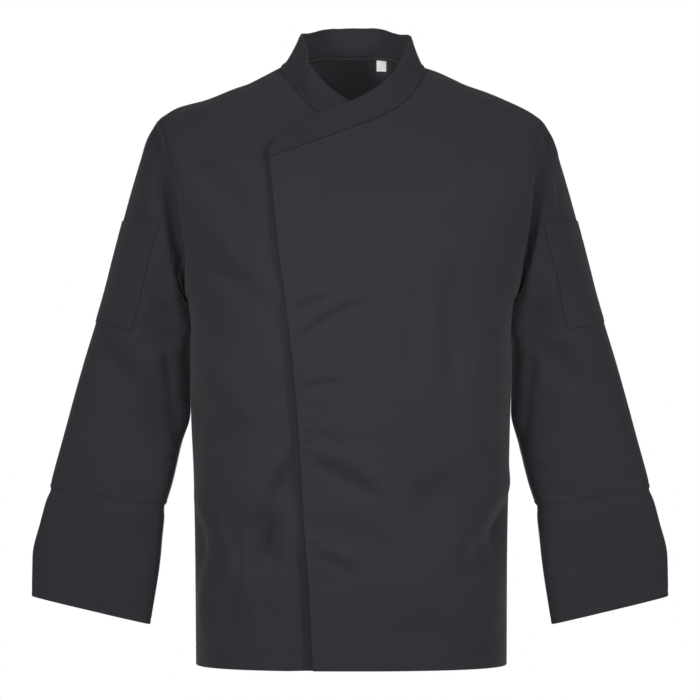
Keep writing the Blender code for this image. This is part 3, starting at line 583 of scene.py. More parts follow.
def back_half(side):
    """Half of the back: columns from the middle out."""
    low = hem_shares(side, BACK, BACK_AT / BACK_LAST)
    found = []
    for at, hem_share in zip(BACK_AT, low):
        if at < BACK_NECK_COLUMNS:
            turn = math.pi / 2 * (1 - at / BACK_NECK_COLUMNS)
            x = NECK_MID + side * NECK_OUT * math.cos(turn)
            y = -SEAM_FORWARD + (NECK_BACK + SEAM_FORWARD) * math.sin(turn)
            found.append(column(side, BACK, hem_share, x, None, (height_at(x, y), y < 0)))
        else:
            share = (at - BACK_NECK_COLUMNS) / SHOULDER_COLUMNS
            found.append(shoulder_column(side, BACK, hem_share, share))
    return np.stack(found, axis=1)


# ---- cloth


class Cloth:
    """A grid of points on one piece of cloth. base is its form, points what folds make of it.

    up, over, from_top and from_last are lengths along the cloth from its first row and column of
    points, and from its last ones.
    """

    def __init__(self, base, sign, ring=False):
        self.base = self.points = base
        self.sign = sign
        self.ring = ring
        self.facing = self.directions()
        self.up = along(base)
        self.over = along(base.swapaxes(0, 1)).swapaxes(0, 1)
        self.from_top = self.up[-1] - self.up
        self.from_last = self.over[:, -1:] - self.over
        self.height = np.zeros(base.shape[:2])

    def directions(self):
        """Outward directions on the points."""
        rows = np.gradient(self.points, axis=0)
        if self.ring:
            columns = np.roll(self.points, -1, axis=1) - np.roll(self.points, 1, axis=1)
        else:
            columns = np.gradient(self.points, axis=1)
        return unit(np.cross(columns, rows) * self.sign)

    def rebase(self, move):
        """Change the form itself, before any fold."""
        self.base = self.points = self.base + move
        self.facing = self.directions()

    def dip(self, distance, depth, run):
        """A soft trough where distance is 0."""
        self.height = self.height - depth * bell(distance / run)

    def stitched(self, distance, seed):
        """The groove of a stitched line, with the cloth drawn up a little on both sides."""
        self.dip(distance, STITCH_DIP, STITCH_DIP_RUN)
        drawn = lattice_noise(self.over + 50, self.up + 50, PUCKER_SIZE, seed)
        self.height = self.height + PUCKER * drawn * bell(distance / PUCKER_RUN)

    def shape(self):
        """Move the points out by their heights, along the form's own directions."""
        self.points = self.base + self.facing * self.height[..., None]
        self.wall_facing = self.directions()

    def strip(self, at, by_rows):
        """A line over the cloth: at gives, for each column or row, a place among the others."""
        points, facing = self.points, self.wall_facing
        if not by_rows:
            points, facing = points.swapaxes(0, 1), facing.swapaxes(0, 1)
        low = np.clip(np.floor(at).astype(int), 0, points.shape[0] - 2)
        share = (at - low)[:, None]
        k = np.arange(points.shape[1])
        line = points[low, k] * (1 - share) + points[low + 1, k] * share
        return line, unit(facing[low, k] * (1 - share) + facing[low + 1, k] * share)

    def level_line(self, distance, from_top=False):
        """The line at a distance from the first row of points, or from the last one."""
        return self.strip(places_at(distance, (self.from_top if from_top else self.up).T), True)

    def upright_line(self, distance, from_last=False):
        """The line at a distance from the first column of points, or from the last one."""
        return self.strip(places_at(distance, self.from_last if from_last else self.over), False)


def places_at(distance, lengths):
    """Where each row of lengths, which only grow or only shrink, reaches a distance."""
    way = 1 if lengths[0, 0] < lengths[0, -1] else -1
    index = np.arange(lengths.shape[1])[::way]
    return np.array([np.interp(distance, row[::way], index) for row in lengths])


def crease_height(creases, x, z):
    """Soft creases with one sharper side: a trough, and a lip above it or on its left."""
    total = np.zeros_like(x)
    for x0, z0, x1, z1, bow, width, height, lip in zip(*creases.values()):
        if x1 < x0:
            x0, z0, x1, z1 = x1, z1, x0, z0
        run = np.array((x1 - x0, z1 - z0))
        length = np.hypot(*run)
        way = ((x - x0) * run[0] + (z - z0) * run[1]) / length**2
        inside = np.clip(way, 0, 1)
        above = ((z - z0) * run[0] - (x - x0) * run[1]) / length - bow * 4 * inside * (1 - inside)
        half = width * (CREASE_ENDS + (1 - CREASE_ENDS) * np.sin(inside * math.pi)) / 2
        ends = ease((way + CREASE_PAST) / CREASE_FADE) * ease((1 + CREASE_PAST - way) / CREASE_FADE)
        trough = bell(above / half) - lip * bell((above - LIP_AWAY * half) / (LIP_WIDTH * half))
        total += height * ends * trough
    return total


def unevenness(cloth, kind, side=0):
    """Cloth is never quite smooth: wide swells, and smaller ones on them, slanting."""
    x, y, z = np.moveaxis(cloth.base, -1, 0)
    if cloth.ring:
        x = x + y
    wide = lattice_noise(x + 400, z + 900, SWELLS[0], SEED[kind] + side)
    small = lattice_noise(x + z * 0.4 + 700, z - x * 0.3 + 1400, SWELLS[1], SEED[kind] + side + 1)
    return UNEVEN[kind] * (wide + SMALL_SWELLS * small)


def lap_outline():
    """The outline of what covers the under front: the over front's edge and its collar's top."""
    z = np.linspace(HEM - LAP_RUN, EDGE["height"][-1], FINE // 2)
    edge = np.stack([front_edge(z), z], axis=1)
    out, height, length = neck_line(LEFT)
    share = np.linspace(0, 1, FINE // 2)[1:]
    x = np.interp(share, length, out)
    top = np.interp(share, length, height) + read(COLLAR, share, "height")
    return np.concatenate([edge, np.stack([x, top], axis=1)])


def lap_drop(x, z):
    """How far the under front lies in, where the over front comes over it."""
    outline = lap_outline()
    start, run = outline[:-1], np.diff(outline, axis=0)
    place = np.stack([x.ravel(), z.ravel()], axis=-1)
    way = np.clip(((place[:, None] - start) * run).sum(-1) / (run * run).sum(-1), 0, 1)
    away = np.linalg.norm(place[:, None] - (start + way[..., None] * run), axis=-1)
    k = away.argmin(-1)
    off = place - start[k]
    turned = run[k, 0] * off[:, 1] - run[k, 1] * off[:, 0]
    outside = np.where(turned > 0, away.min(-1), -away.min(-1))
    drop = LAP_DROP + (LAP_DROP_LOW - LAP_DROP) * ease((LAP_LOW[0] - z) / (LAP_LOW[0] - LAP_LOW[1]))
    return drop * ease(1 - (outside.reshape(x.shape) - LAP_CLEAR) / LAP_RUN)


# ---- sleeves


def sleeve_rings(side, armhole, at_rows):
    """Rings of points from the armhole, at row -1, to the end of the cuff."""
    length = along(np.concatenate([armhole, armhole[:1]]))
    count = len(armhole)
    peak = armhole[:, 2].argmax()
    at = np.where(
        np.arange(count) <= peak,
        length[:-1] / length[peak] / 2,
        0.5 + (length[:-1] - length[peak]) / (length[-1] - length[peak]) / 2,
    )
    turn = 2 * math.pi * at
    foot, tip = armhole[0], armhole[peak]
    line = tip - foot
    up = (armhole - foot) @ line / (line @ line)
    deep = np.abs(armhole[:, 1]).max()
    fore = armhole[:, 1] / deep
    own = armhole - (foot + up[:, None] * line + np.outer(armhole[:, 1], (0, 1, 0)))
    inside = side * foot[0]
    first = (side * tip[0], tip[2], inside, inside, foot[2], deep, 0, SLEEVE["square"][0])
    table_rows = np.arange(-1, LAST_ROW + 1)
    values = [np.concatenate([[start], rows]) for start, rows in zip(first, SLEEVE.values())]
    rings = []
    for at_row in at_rows:
        row = [smooth(at_row, table_rows, v) for v in values]
        outer_x, outer_z, left_x, right_x, inner_z, depth, back, square = row
        inner_x = left_x if side == LEFT else right_x
        join = ease(-at_row)
        inner = np.array((side * inner_x, back, inner_z)) + (0, foot[1] * join, 0)
        outer = np.array((side * outer_x, back, outer_z)) + (0, tip[1] * join, 0)
        c, s = -np.cos(turn), -np.sin(turn)
        inner_front = (c < 0) & (s < 0)
        share = 2 / (square + inner_front * read(INNER_FRONT, at_row, "square"))
        oval_up = 0.5 + 0.5 * np.sign(c) * np.abs(c) ** share
        oval_fore = np.sign(s) * np.abs(s) ** share
        w = ease((at_row + 1) / CAP_ROWS)
        go_up = up + (oval_up - up) * w
        scale = depth * (fore + (oval_fore - fore) * w)
        ring = inner + go_up[:, None] * (outer - inner) + np.outer(scale, (0, 1, 0))
        ring = ring + own * (1 - ease((at_row + 1) / ARMHOLE_ROWS))
        bulge = read(INNER_FRONT, at_row, "bulge") * ease(-c / BULGE_EASE)
        bulge = bulge * bell((ring[:, 1] - INNER_BULGE[0]) / INNER_BULGE[1]) * (s < 0)
        rings.append(ring - np.outer(side * bulge, (1, 0, 0)))
    return np.array(rings)


def crease(cloth, side, front_rows, back_rows):
    """Heights from two tables, one for what faces forward and one for what faces back."""
    x, z = side * cloth.base[..., 0], cloth.base[..., 2]
    facing = cloth.facing[..., 1]
    total = 0
    for rows, way in ((front_rows, -facing), (back_rows, facing)):
        if rows is not None:
            total = total + crease_height(rows, x, z) * ease(way / FACE_ON)
    return total


def clear_of(distance, run):
    """0 at a seam, and 1 from run on."""
    return ease(distance / run)


# ---- meshes


ROLLED, CUT = 0.9, 0.05  # how far a free edge and a sewn one stand out, in half thicknesses


def cloth_mesh(name, cloth, thickness, finish, free=()):
    """One closed piece of cloth: outer face, inner face and edges, which are rolled where free."""
    outer, facing = cloth.points, cloth.wall_facing
    rows, columns = outer.shape[:2]
    thick = np.broadcast_to(thickness, (rows, columns))
    inner = outer - facing * thick[..., None]
    place = np.stack([cloth.over, cloth.up, 0 * cloth.up], axis=-1)
    points = [outer.reshape(-1, 3), inner.reshape(-1, 3)]
    places = [place.reshape(-1, 3)] * 2
    layer = rows * columns
    index = np.arange(layer).reshape(rows, columns)
    far = np.roll(index, -1, axis=1) if cloth.ring else index[:, 1:]
    near = index if cloth.ring else index[:, :-1]
    a, b, e, f = near[:-1].ravel(), far[:-1].ravel(), near[1:].ravel(), far[1:].ravel()
    faces = [
        np.stack([a, b, f, e], axis=1),
        np.stack([layer + e, layer + f, layer + b, layer + a], axis=1),
    ]
    whole = slice(None)
    sides = {"bottom": ((0, whole), (1, whole)), "top": ((-1, whole), (-2, whole))}
    if not cloth.ring:
        sides |= {"left": ((whole, 0), (whole, 1)), "right": ((whole, -1), (whole, -2))}
    count = 2 * layer
    rims = {}
    for word, (here, next_in) in sides.items():
        roll = thick[here][:, None] / 2 * (ROLLED if word in free else CUT)
        points.append((outer[here] + inner[here]) / 2 + unit(outer[here] - outer[next_in]) * roll)
        places.append(place[here])
        rim = count + np.arange(len(points[-1]))
        count += len(rim)
        rims[word] = (index[here], rim, index[here] + layer)
        start = np.arange(len(rim) - (0 if cloth.ring else 1))
        end = (start + 1) % len(rim)
        for p, q in zip(rims[word][:2], rims[word][1:]):
            quad = [q[start], q[end], p[end], p[start]]
            if word in ("top", "left"):
                quad = quad[::-1]
            faces.append(np.stack(quad, axis=1))
    if not cloth.ring:
        for level, end in (("bottom", 0), ("top", -1)):
            for upright, corner in (("left", 0), ("right", -1)):
                o, m, i = (line[corner] for line in rims[level])
                quad = np.array([[i, m, o, rims[upright][1][end]]])
                same = (level == "bottom") == (upright == "left")
                faces.append(quad if same else quad[:, [2, 1, 0, 3]])
    if cloth.sign < 0:
        faces = [quad[:, ::-1] for quad in faces]
    return mesh_piece(name, np.concatenate(points), faces, finish, np.concatenate(places))


SHARP = math.radians(50)


def mesh_piece(name, points, faces, finish, places=None):
    mesh = bpy.data.meshes.new(name)
    corners = np.concatenate([f.ravel() for f in faces]).astype(np.int32)
    sizes = np.concatenate([np.full(len(f), f.shape[1]) for f in faces]).astype(np.int32)
    mesh.vertices.add(len(points))
    mesh.vertices.foreach_set("co", (points * MM).ravel())
    mesh.loops.add(len(corners))
    mesh.loops.foreach_set("vertex_index", corners)
    mesh.polygons.add(len(sizes))
    mesh.polygons.foreach_set("loop_start", (np.cumsum(sizes) - sizes).astype(np.int32))
    mesh.polygons.foreach_set("loop_total", sizes)
    mesh.update(calc_edges=True)
    if places is not None:
        layer = mesh.attributes.new("weave", "FLOAT_VECTOR", "POINT")
        layer.data.foreach_set("vector", places.ravel())
    mesh.materials.append(finish)
    mesh.shade_smooth()
    mesh.set_sharp_from_angle(angle=SHARP)
    piece = bpy.data.objects.new(name, mesh)
    bpy.context.collection.objects.link(piece)
    return piece


SPINDLE = ((-1, 0.4), (-0.55, 1), (0.55, 1), (1, 0.4))  # places along a stitch and its thickness
SPINDLE_SIDES = 5
GLANCE = 0.8  # half the length over which a stitch takes its direction


def stitching(name, lines, finish):
    """Stitches set along lines = [(points, outward directions, closed)]."""
    turn = np.arange(SPINDLE_SIDES)[:, None] * 2 * math.pi / SPINDLE_SIDES
    found = []
    for line, facing, closed in lines:
        if closed:
            line, facing = np.concatenate([line, line[:1]]), np.concatenate([facing, facing[:1]])
        length = along(line)
        number = int(length[-1] // STITCH_PITCH)
        at = (np.arange(number) + 0.5) * length[-1] / number
        middle = at_length(line, length, at)
        ahead = unit(at_length(line, length, at + GLANCE) - at_length(line, length, at - GLANCE))
        aside = unit(np.cross(ahead, unit(at_length(facing, length, at))))
        out = np.cross(aside, ahead)
        round_it = np.cos(turn) * out[:, None] + np.sin(turn) * aside[:, None]
        rings = []
        for way, size in SPINDLE:
            centre = middle + ahead * way * STITCH / 2 - out * THREAD_SUNK * (abs(way) == 1)
            rings.append(centre[:, None] + THREAD / 2 * size * round_it)
        found.append(np.stack(rings, axis=1).reshape(-1, 3))
    points = np.concatenate(found)
    each = len(SPINDLE) * SPINDLE_SIDES
    start = np.arange(len(points) // each)[:, None] * each
    here = np.arange(SPINDLE_SIDES)
    after = np.roll(here, -1)
    ring = np.arange(len(SPINDLE) - 1)[:, None] * SPINDLE_SIDES
    ahead_of = ring + SPINDLE_SIDES
    quads = np.stack([ring + here, ring + after, ahead_of + after, ahead_of + here], axis=-1)
    faces = (start[:, :, None] + quads.reshape(-1, 4)).reshape(-1, 4)
    ends = [start + here[::-1], start + each - SPINDLE_SIDES + here]
    return mesh_piece(name, points, [faces, *ends], finish)


# ---- finishes


class Socket:
    """A value in a material's node tree; operators on it add Math nodes."""

    def __init__(self, tree, socket):
        self.tree = tree
        self.socket = socket

    def math(self, operation, *others):
        node = self.tree.nodes.new("ShaderNodeMath")
        node.operation = operation
        for slot, value in zip(node.inputs, others):
            plug(self.tree, slot, value)
        return Socket(self.tree, node.outputs[0])

    def __add__(self, other):
        return self.math("ADD", self, other)

    def __sub__(self, other):
        return self.math("SUBTRACT", self, other)

    def __rsub__(self, other):
        return self.math("SUBTRACT", other, self)

    def __mul__(self, other):
        return self.math("MULTIPLY", self, other)

    __radd__, __rmul__ = __add__, __mul__


def plug(tree, slot, value):
    if isinstance(value, Socket):
        tree.links.new(value.socket, slot)
    else:
        slot.default_value = value


class Finish:
    """A material and its nodes."""

    def __init__(self, name):
        self.material = bpy.data.materials.new(name)
        self.material.use_nodes = True
        self.tree = self.material.node_tree
        self.shader = self.tree.nodes["Principled BSDF"]

    def node(self, kind, settings=None, numbered=None, **values):
        """Any node, by its type, its settings and its sockets' values or links."""
        node = self.tree.nodes.new(kind)
        for key, value in (settings or {}).items():
            setattr(node, key, value)
        for key, value in (numbered or {}).items():
            plug(self.tree, node.inputs[key], value)
        for key, value in values.items():
            plug(self.tree, node.inputs[key.replace("_", " ")], value)
        outputs = [Socket(self.tree, output) for output in node.outputs]
        return dict(enumerate(outputs)) | {found.socket.name: found for found in outputs}

    def set(self, **values):
        for key, value in values.items():
            plug(self.tree, self.shader.inputs[key.replace("_", " ")], value)


def twill(name, colour, sheen, weave_depth):
    """Close dark twill: fine diagonal ribs, a little uneven in tone, with a soft bloom."""
    finish = Finish(name)
    place = finish.node("ShaderNodeAttribute", {"attribute_name": "weave"})["Vector"]
    ribs = finish.node(
        "ShaderNodeTexWave",
        {"wave_type": "BANDS", "bands_direction": "DIAGONAL", "wave_profile": "SIN"},
        Vector=place, Scale=0.42, Distortion=0.6, Detail=1.0, Detail_Scale=2.0,
    )["Fac"]
    threads = finish.node("ShaderNodeTexNoise", Vector=place, Scale=1.6, Detail=2.0)["Fac"]
    form = finish.node("ShaderNodeNewGeometry")["Position"]
    cloudy = finish.node("ShaderNodeTexNoise", Vector=form, Scale=14.0, Detail=3.0)["Fac"]
    dark, light = ((*[c * tone for c in colour], 1) for tone in (0.92, 1.08))
    tone = finish.node("ShaderNodeMix", {"data_type": "RGBA"}, {0: cloudy, 6: dark, 7: light})[2]
    weave = ribs * 0.7 + threads * 0.3
    bump = finish.node("ShaderNodeBump", Height=weave, Strength=0.35, Distance=weave_depth)["Normal"]
    finish.set(Base_Color=tone, Normal=bump, Roughness=0.88, Specular_IOR_Level=0.25)
    finish.set(Sheen_Weight=sheen, Sheen_Roughness=0.5)
    return finish.material


def plain_finish(name, colour, roughness, grain):
    """One colour with a fine grain."""
    finish = Finish(name)
    form = finish.node("ShaderNodeNewGeometry")["Position"]
    noise = finish.node("ShaderNodeTexNoise", Vector=form, Scale=grain, Detail=2.0)["Fac"]
    bump = finish.node("ShaderNodeBump", Height=noise, Strength=0.3, Distance=0.0001)
    finish.set(Base_Color=(*colour, 1), Roughness=noise * 0.1 + roughness, Normal=bump["Normal"])
    return finish.material


TWILL_COLOUR = np.array((0.0258, 0.0273, 0.0325))
TWILL = twill("charcoal_twill", TWILL_COLOUR, 0.12, 0.00012)
BAND = twill("stiffened_twill", TWILL_COLOUR * 0.97, 0.12, 0.0001)
# painted shade: the collar's twill is a tenth darker than the other cloth, standing in for the shade that
# falls on the collar
COLLAR_PAINTED_SHADE_FINISH = twill("collar_twill_painted_shade", TWILL_COLOUR * 0.9, 0.1, 0.0001)
THREAD_FINISH = plain_finish("sewing_thread", (0.019, 0.020, 0.023), 0.6, 2500.0)
LABEL_FINISH = plain_finish("label_satin", (0.9, 0.9, 0.91), 0.45, 1800.0)


# ---- making the jacket


WORD = {LEFT: "left", RIGHT: "right"}
BACK_SIDE = {LEFT: -1, RIGHT: 0}  # the back's column at each side seam
ARMHOLE_FOOT = LOW_COUNT - 1  # the row of points at the armpit


def join_seams(front, rear, side):
    """Give front and back the same directions along their side seam and their shoulder seam."""
    low = slice(ARMHOLE_FOOT + 1)
    there = slice(-SHOULDER_COUNT, None) if side == LEFT else slice(SHOULDER_COUNT - 1, None, -1)
    seams = (((low, -1), (low, BACK_SIDE[side])), ((-1, slice(-SHOULDER_COUNT, None)), (-1, there)))
    for mine, other in seams:
        front[mine] = rear[other] = unit(front[mine] + rear[other])


def round_armhole(front, rear, side):
    """What lies round an armhole: from its foot up the front, and down the back."""
    upper = slice(ARMHOLE_FOOT, None)
    return np.concatenate([front[upper, -1], rear[upper, BACK_SIDE[side]][-2:0:-1]])


def set_round_armhole(front, rear, side, values):
    """The reverse: give the front and the back what is listed round the armhole."""
    top = len(UP_AT)
    front[ARMHOLE_FOOT:, -1] = values[:top]
    rear[ARMHOLE_FOOT:, BACK_SIDE[side]] = np.concatenate([values[top - 1 :], values[:1]])[::-1]


fronts = {side: Cloth(front_grid(side), side) for side in (LEFT, RIGHT)}
back_halves = {side: back_half(side) for side in (LEFT, RIGHT)}
back = Cloth(np.concatenate([back_halves[RIGHT][:, ::-1], back_halves[LEFT][:, 1:]], axis=1), -1)
back_columns = np.concatenate([-BACK_AT[::-1], BACK_AT[1:]])

under = fronts[RIGHT]
drop = lap_drop(under.base[..., 0], under.base[..., 2])
under.rebase(-under.facing * drop[..., None])

seam_stitches = [CUFF_ROW - stitch / ROW_LENGTH for stitch in CUFF_STITCHES]
SLEEVE_AT = np.array(sorted({
    *spaced(-1, CUFF_ROW, STEP / ROW_LENGTH, seam_stitches, 1 / ROW_LENGTH),
    *(-1 + np.array((0.6, 1.4, 2.6)) / FIRST_ROW),
    *(CUFF_ROW - np.array((0.3, 0.7, 1.2)) / ROW_LENGTH),
}))
cuff_lines = (CUFF_ROW, LAST_ROW - CUFF_END_STITCH / CUFF_LAST_ROW, LAST_ROW)
CUFF_AT = spaced(CUFF_ROW, LAST_ROW, STEP / CUFF_FIRST_ROW, cuff_lines, 1 / CUFF_FIRST_ROW)

sleeves, cuffs = {}, {}
for side in (LEFT, RIGHT):
    front = fronts[side]
    join_seams(front.facing, back.facing, side)
    armhole = round_armhole(front.base, back.base, side)
    whole = Cloth(sleeve_rings(side, armhole, np.concatenate([SLEEVE_AT, CUFF_AT[1:]])), -side, True)
    end = len(SLEEVE_AT)
    sleeve, cuff = (Cloth(whole.base[part], -side, True) for part in (slice(end), slice(end - 1, None)))
    sleeve.facing = whole.facing[:end].copy()
    cuff.facing = whole.facing[end - 1 :].copy()
    both = unit(round_armhole(front.facing, back.facing, side) + sleeve.facing[0])
    sleeve.facing[0] = both
    set_round_armhole(front.facing, back.facing, side, both)
    sleeves[side], cuffs[side] = sleeve, cuff

# folds, creases and the cloth's own unevenness
for side in (LEFT, RIGHT):
    front, sleeve, cuff = fronts[side], sleeves[side], cuffs[side]
    calm = clear_of(front.from_last, SEAM_CALM) * clear_of(front.from_top, SEAM_CALM)
    wavy = unevenness(front, "front", side) * ease(-front.facing[..., 1] / FACE_ON)
    front.height = calm * (crease(front, 1, FRONT_CREASES[side], None) + wavy)
    sleeve_calm = clear_of(sleeve.up, ARMHOLE_CALM) * clear_of(sleeve.from_top, SEAM_CALM)
    for cloth, kind, calm in ((sleeve, "sleeve", sleeve_calm), (cuff, "cuff", clear_of(cuff.up, CUFF_CALM))):
        wavy = unevenness(cloth, kind, side) * ease(np.abs(cloth.facing[..., 1]) / FACE_ON)
        creases = crease(cloth, side, SLEEVE_CREASES[side], SLEEVE_BACK_CREASES)
        cloth.height = calm * (creases + wavy)

back_sides = np.minimum(back.over, back.from_last)
wavy = unevenness(back, "back") * ease(back.facing[..., 1] / FACE_ON)
calm = clear_of(back_sides, SEAM_CALM) * clear_of(back.from_top, SEAM_CALM)
back.height = calm * (crease(back, 1, None, BACK_CREASES) + wavy)


def seam_seen(share):
    """How far the neck seam still shows at a share of its way from the over front's edge."""
    return SEAM_FAINT + (1 - SEAM_FAINT) * ease((share - SEAM_FADED) / (SEAM_CLEAR - SEAM_FADED))


def top_seam(cloth, from_side, seen=1):
    """The dip of the seam at a panel's top, which stops short of the sides."""
    cloth.dip(cloth.from_top + np.maximum(SEAM_END - from_side, 0), SEAM_DIP * seen, SEAM_DIP_RUN)


# seams and stitched lines
for side in (LEFT, RIGHT):
    front, sleeve, cuff = fronts[side], sleeves[side], cuffs[side]
    front.dip(front.from_last, SEAM_DIP, SEAM_DIP_RUN)
    out, run = GROOVE_ACROSS[side]
    deep = read(GROOVE, front.base[:, -1, 2], "deep")
    front.dip(front.from_last, deep[:, None] * bell(out / run), GROOVE_RUN)
    sleeve.dip(sleeve.up - out, np.concatenate([deep[ARMHOLE_FOOT:], np.zeros(len(UP_AT) - 2)]), run)
    seen = np.ones(front.over.shape[1])
    if side == LEFT:
        neck = FRONT_AT <= FRONT_NECK_COLUMNS
        seen[neck] = seam_seen(neck_share(FRONT_AT[neck]))
    top_seam(front, front.from_last, seen)
    front.stitched(front.up - HEM_STITCH, SEED["front_hem"])
    front.stitched(front.over - EDGE_STITCH, SEED["front_edge"])
    sleeve.dip(sleeve.up, SEAM_DIP, SEAM_DIP_RUN)
    sleeve.dip(sleeve.from_top, CUFF_DIP, CUFF_DIP_RUN[0])
    for number, distance in enumerate(CUFF_STITCHES):
        sleeve.stitched(sleeve.from_top - distance, SEED["cuff_seam"] + number)
    cuff.dip(cuff.up, CUFF_DIP, CUFF_DIP_RUN[1])
    cuff.stitched(cuff.from_top - CUFF_END_STITCH, SEED["cuff_end"])

back.dip(back_sides, SEAM_DIP, SEAM_DIP_RUN)
top_seam(back, back_sides)
back.stitched(back.up - HEM_STITCH, SEED["back_hem"])
past_neck = np.abs(back_columns) > BACK_NECK_COLUMNS
back.stitched(np.where(past_neck, back.from_top, FAR) - SHOULDER_STITCH, SEED["shoulder"])

# the collar stands on the necklines, from the over front round the back to the under one
NECK_COUNT = len(FRONT_AT) - SHOULDER_COUNT
NECK_BACK_COLUMNS = slice(SHOULDER_COUNT - 1, -SHOULDER_COUNT + 1)
COLLAR_UP = np.array((
    0, 0.012, 0.03, 0.055, 0.09, 0.15, 0.22, 0.3, 0.38, 0.46, 0.54, 0.62, 0.7, 0.77, 0.815, 0.84, 0.86,
    0.88, 0.905, 0.94, 0.97, 1,
))


def round_neck(kind):
    """What the panels have along the neck seam."""
    left, right = (getattr(fronts[side], kind)[-1, :NECK_COUNT] for side in (LEFT, RIGHT))
    return np.concatenate([left, getattr(back, kind)[-1, NECK_BACK_COLUMNS][::-1], right[::-1]])


base = round_neck("base")
neck_shares = neck_share(FRONT_AT[:NECK_COUNT])
neck_back = 1.5 - back_columns[NECK_BACK_COLUMNS][::-1] / (2 * BACK_NECK_COLUMNS)
collar_at = np.concatenate([neck_shares, neck_back, 3 - neck_shares[::-1]])
height = read(COLLAR, collar_at, "height")
from_end = ease(np.minimum(collar_at, 3 - collar_at) / COLLAR_STRAIGHT)
to_x, to_y = (NECK_AXIS[0] - base[:, 0]) * from_end, NECK_AXIS[1] - base[:, 1]
inward = unit(np.stack([to_x, to_y, 0 * to_y], axis=1))
lean_in = inward * read(COLLAR, collar_at, "lean")[:, None]
share = COLLAR_UP[:, None, None]
collar = Cloth(base + height[:, None] * (share * np.array((0, 0, 1)) + share**COLLAR_HOLLOW * lean_in), -1)
both = unit(round_neck("facing") + collar.facing[0])
collar.facing[0] = both
middle = len(neck_back)
fronts[LEFT].facing[-1, : NECK_COUNT + 1] = both[: NECK_COUNT + 1]
back.facing[-1, NECK_BACK_COLUMNS] = both[NECK_COUNT : NECK_COUNT + middle][::-1]
fronts[RIGHT].facing[-1, : NECK_COUNT + 1] = both[NECK_COUNT + middle - 1 :][::-1]
place, half, deep = COLLAR_CREASE
collar.height = -deep * bell((collar_at - place) / half) * ease(collar.up / COLLAR_FREE)
tall, size, free = COLLAR_WAVE
wavy = lattice_noise(collar.over + 90, collar.up + 300, size, SEED["collar"])
collar.height += tall * wavy * ease(collar.up / free)
collar.dip(collar.up, SEAM_DIP * np.where(collar_at < 1, seam_seen(collar_at), 1), SEAM_DIP_RUN)
shown = collar_at > SEAM_FADED
collar.stitched(np.where(shown, collar.up - COLLAR_STITCHES[0], FAR), SEED["collar_low"])
collar.stitched(collar.from_top - COLLAR_STITCHES[1], SEED["collar_top"])

for cloth in (*fronts.values(), back, *sleeves.values(), *cuffs.values(), collar):
    cloth.shape()


TIGHT, WIDE = -0.2, 0.5  # how far the directions at a seam agree in a tight fold and on a wide bend


def seam_direction(mine, other):
    """The wall's direction at a seam: halfway on a wide bend, its own in a tight fold."""
    agree = np.sum(mine * other, axis=-1, keepdims=True)
    w = ease((agree - TIGHT) / (WIDE - TIGHT))
    return unit(mine * (2 - w) + other * w)


for side in (LEFT, RIGHT):
    front, sleeve, cuff = fronts[side], sleeves[side], cuffs[side]
    join_seams(front.wall_facing, back.wall_facing, side)
    body = round_armhole(front.wall_facing, back.wall_facing, side)
    own = sleeve.wall_facing[0].copy()
    sleeve.wall_facing[0] = seam_direction(own, body)
    set_round_armhole(front.wall_facing, back.wall_facing, side, seam_direction(body, own))
    both = unit(sleeve.wall_facing[-1] + cuff.wall_facing[0])
    sleeve.wall_facing[-1] = cuff.wall_facing[0] = both


def hem_thickness(cloth, edge=False):
    """One layer of cloth, and more at the turned-up hem and at the front edge."""
    thick = ease((HEM_STITCH + HEM_PAST - cloth.up) / TURN_RUN)
    if edge:
        thick = np.maximum(thick, ease((EDGE_STITCH + EDGE_PAST - cloth.over) / TURN_RUN))
    return CLOTH + (HEM_CLOTH - CLOTH) * thick


POCKET_ROWS = spaced(0, POCKET_DEEP, POCKET_STEP, (0, POCKET_HEM_STITCH, POCKET_DEEP)) / POCKET_DEEP


def sleeve_pocket(side):
    """A patch pocket: the sleeve's own points, moved out, between two heights."""
    sleeve = sleeves[side]
    count = sleeve.points.shape[1]
    top = len(UP_AT) - 1
    first, last = np.interp(POCKET_AROUND, UP_AT, np.arange(top + 1))
    last = 2 * top - last
    points, facing = [], []
    for at in spaced(first, last, 1.0, (first, last), POCKET_CLOSE):
        k, share = int(at), at % 1
        line, way = (
            field[:, k] * (1 - share) + field[:, (k + 1) % count] * share
            for field in (sleeve.points, sleeve.wall_facing)
        )
        index = np.arange(len(line))
        ends = []
        for height, out, fall in (POCKET_TOP, POCKET_BOTTOM):
            below = height - fall * (out - side * line[:, 0]) - line[:, 2]
            ends.append(np.interp(0, below, index))
        rows = ends[0] + (ends[1] - ends[0]) * POCKET_ROWS
        points.append(at_length(line, index, rows))
        facing.append(at_length(way, index, rows))
    facing = unit(np.stack(facing, axis=1))
    pocket = Cloth(np.stack(points, axis=1) + facing * (PATCH_GAP + PATCH_CLOTH), -side)
    pocket.facing = facing
    for distance in (pocket.from_top, pocket.over, pocket.from_last):
        pocket.stitched(distance - POCKET_STITCH, SEED["pocket_sides"] + side)
    pocket.stitched(pocket.up - POCKET_HEM_STITCH, SEED["pocket_hem"] + side)
    pocket.shape()
    return pocket


pockets = {side: sleeve_pocket(side) for side in (LEFT, RIGHT)}


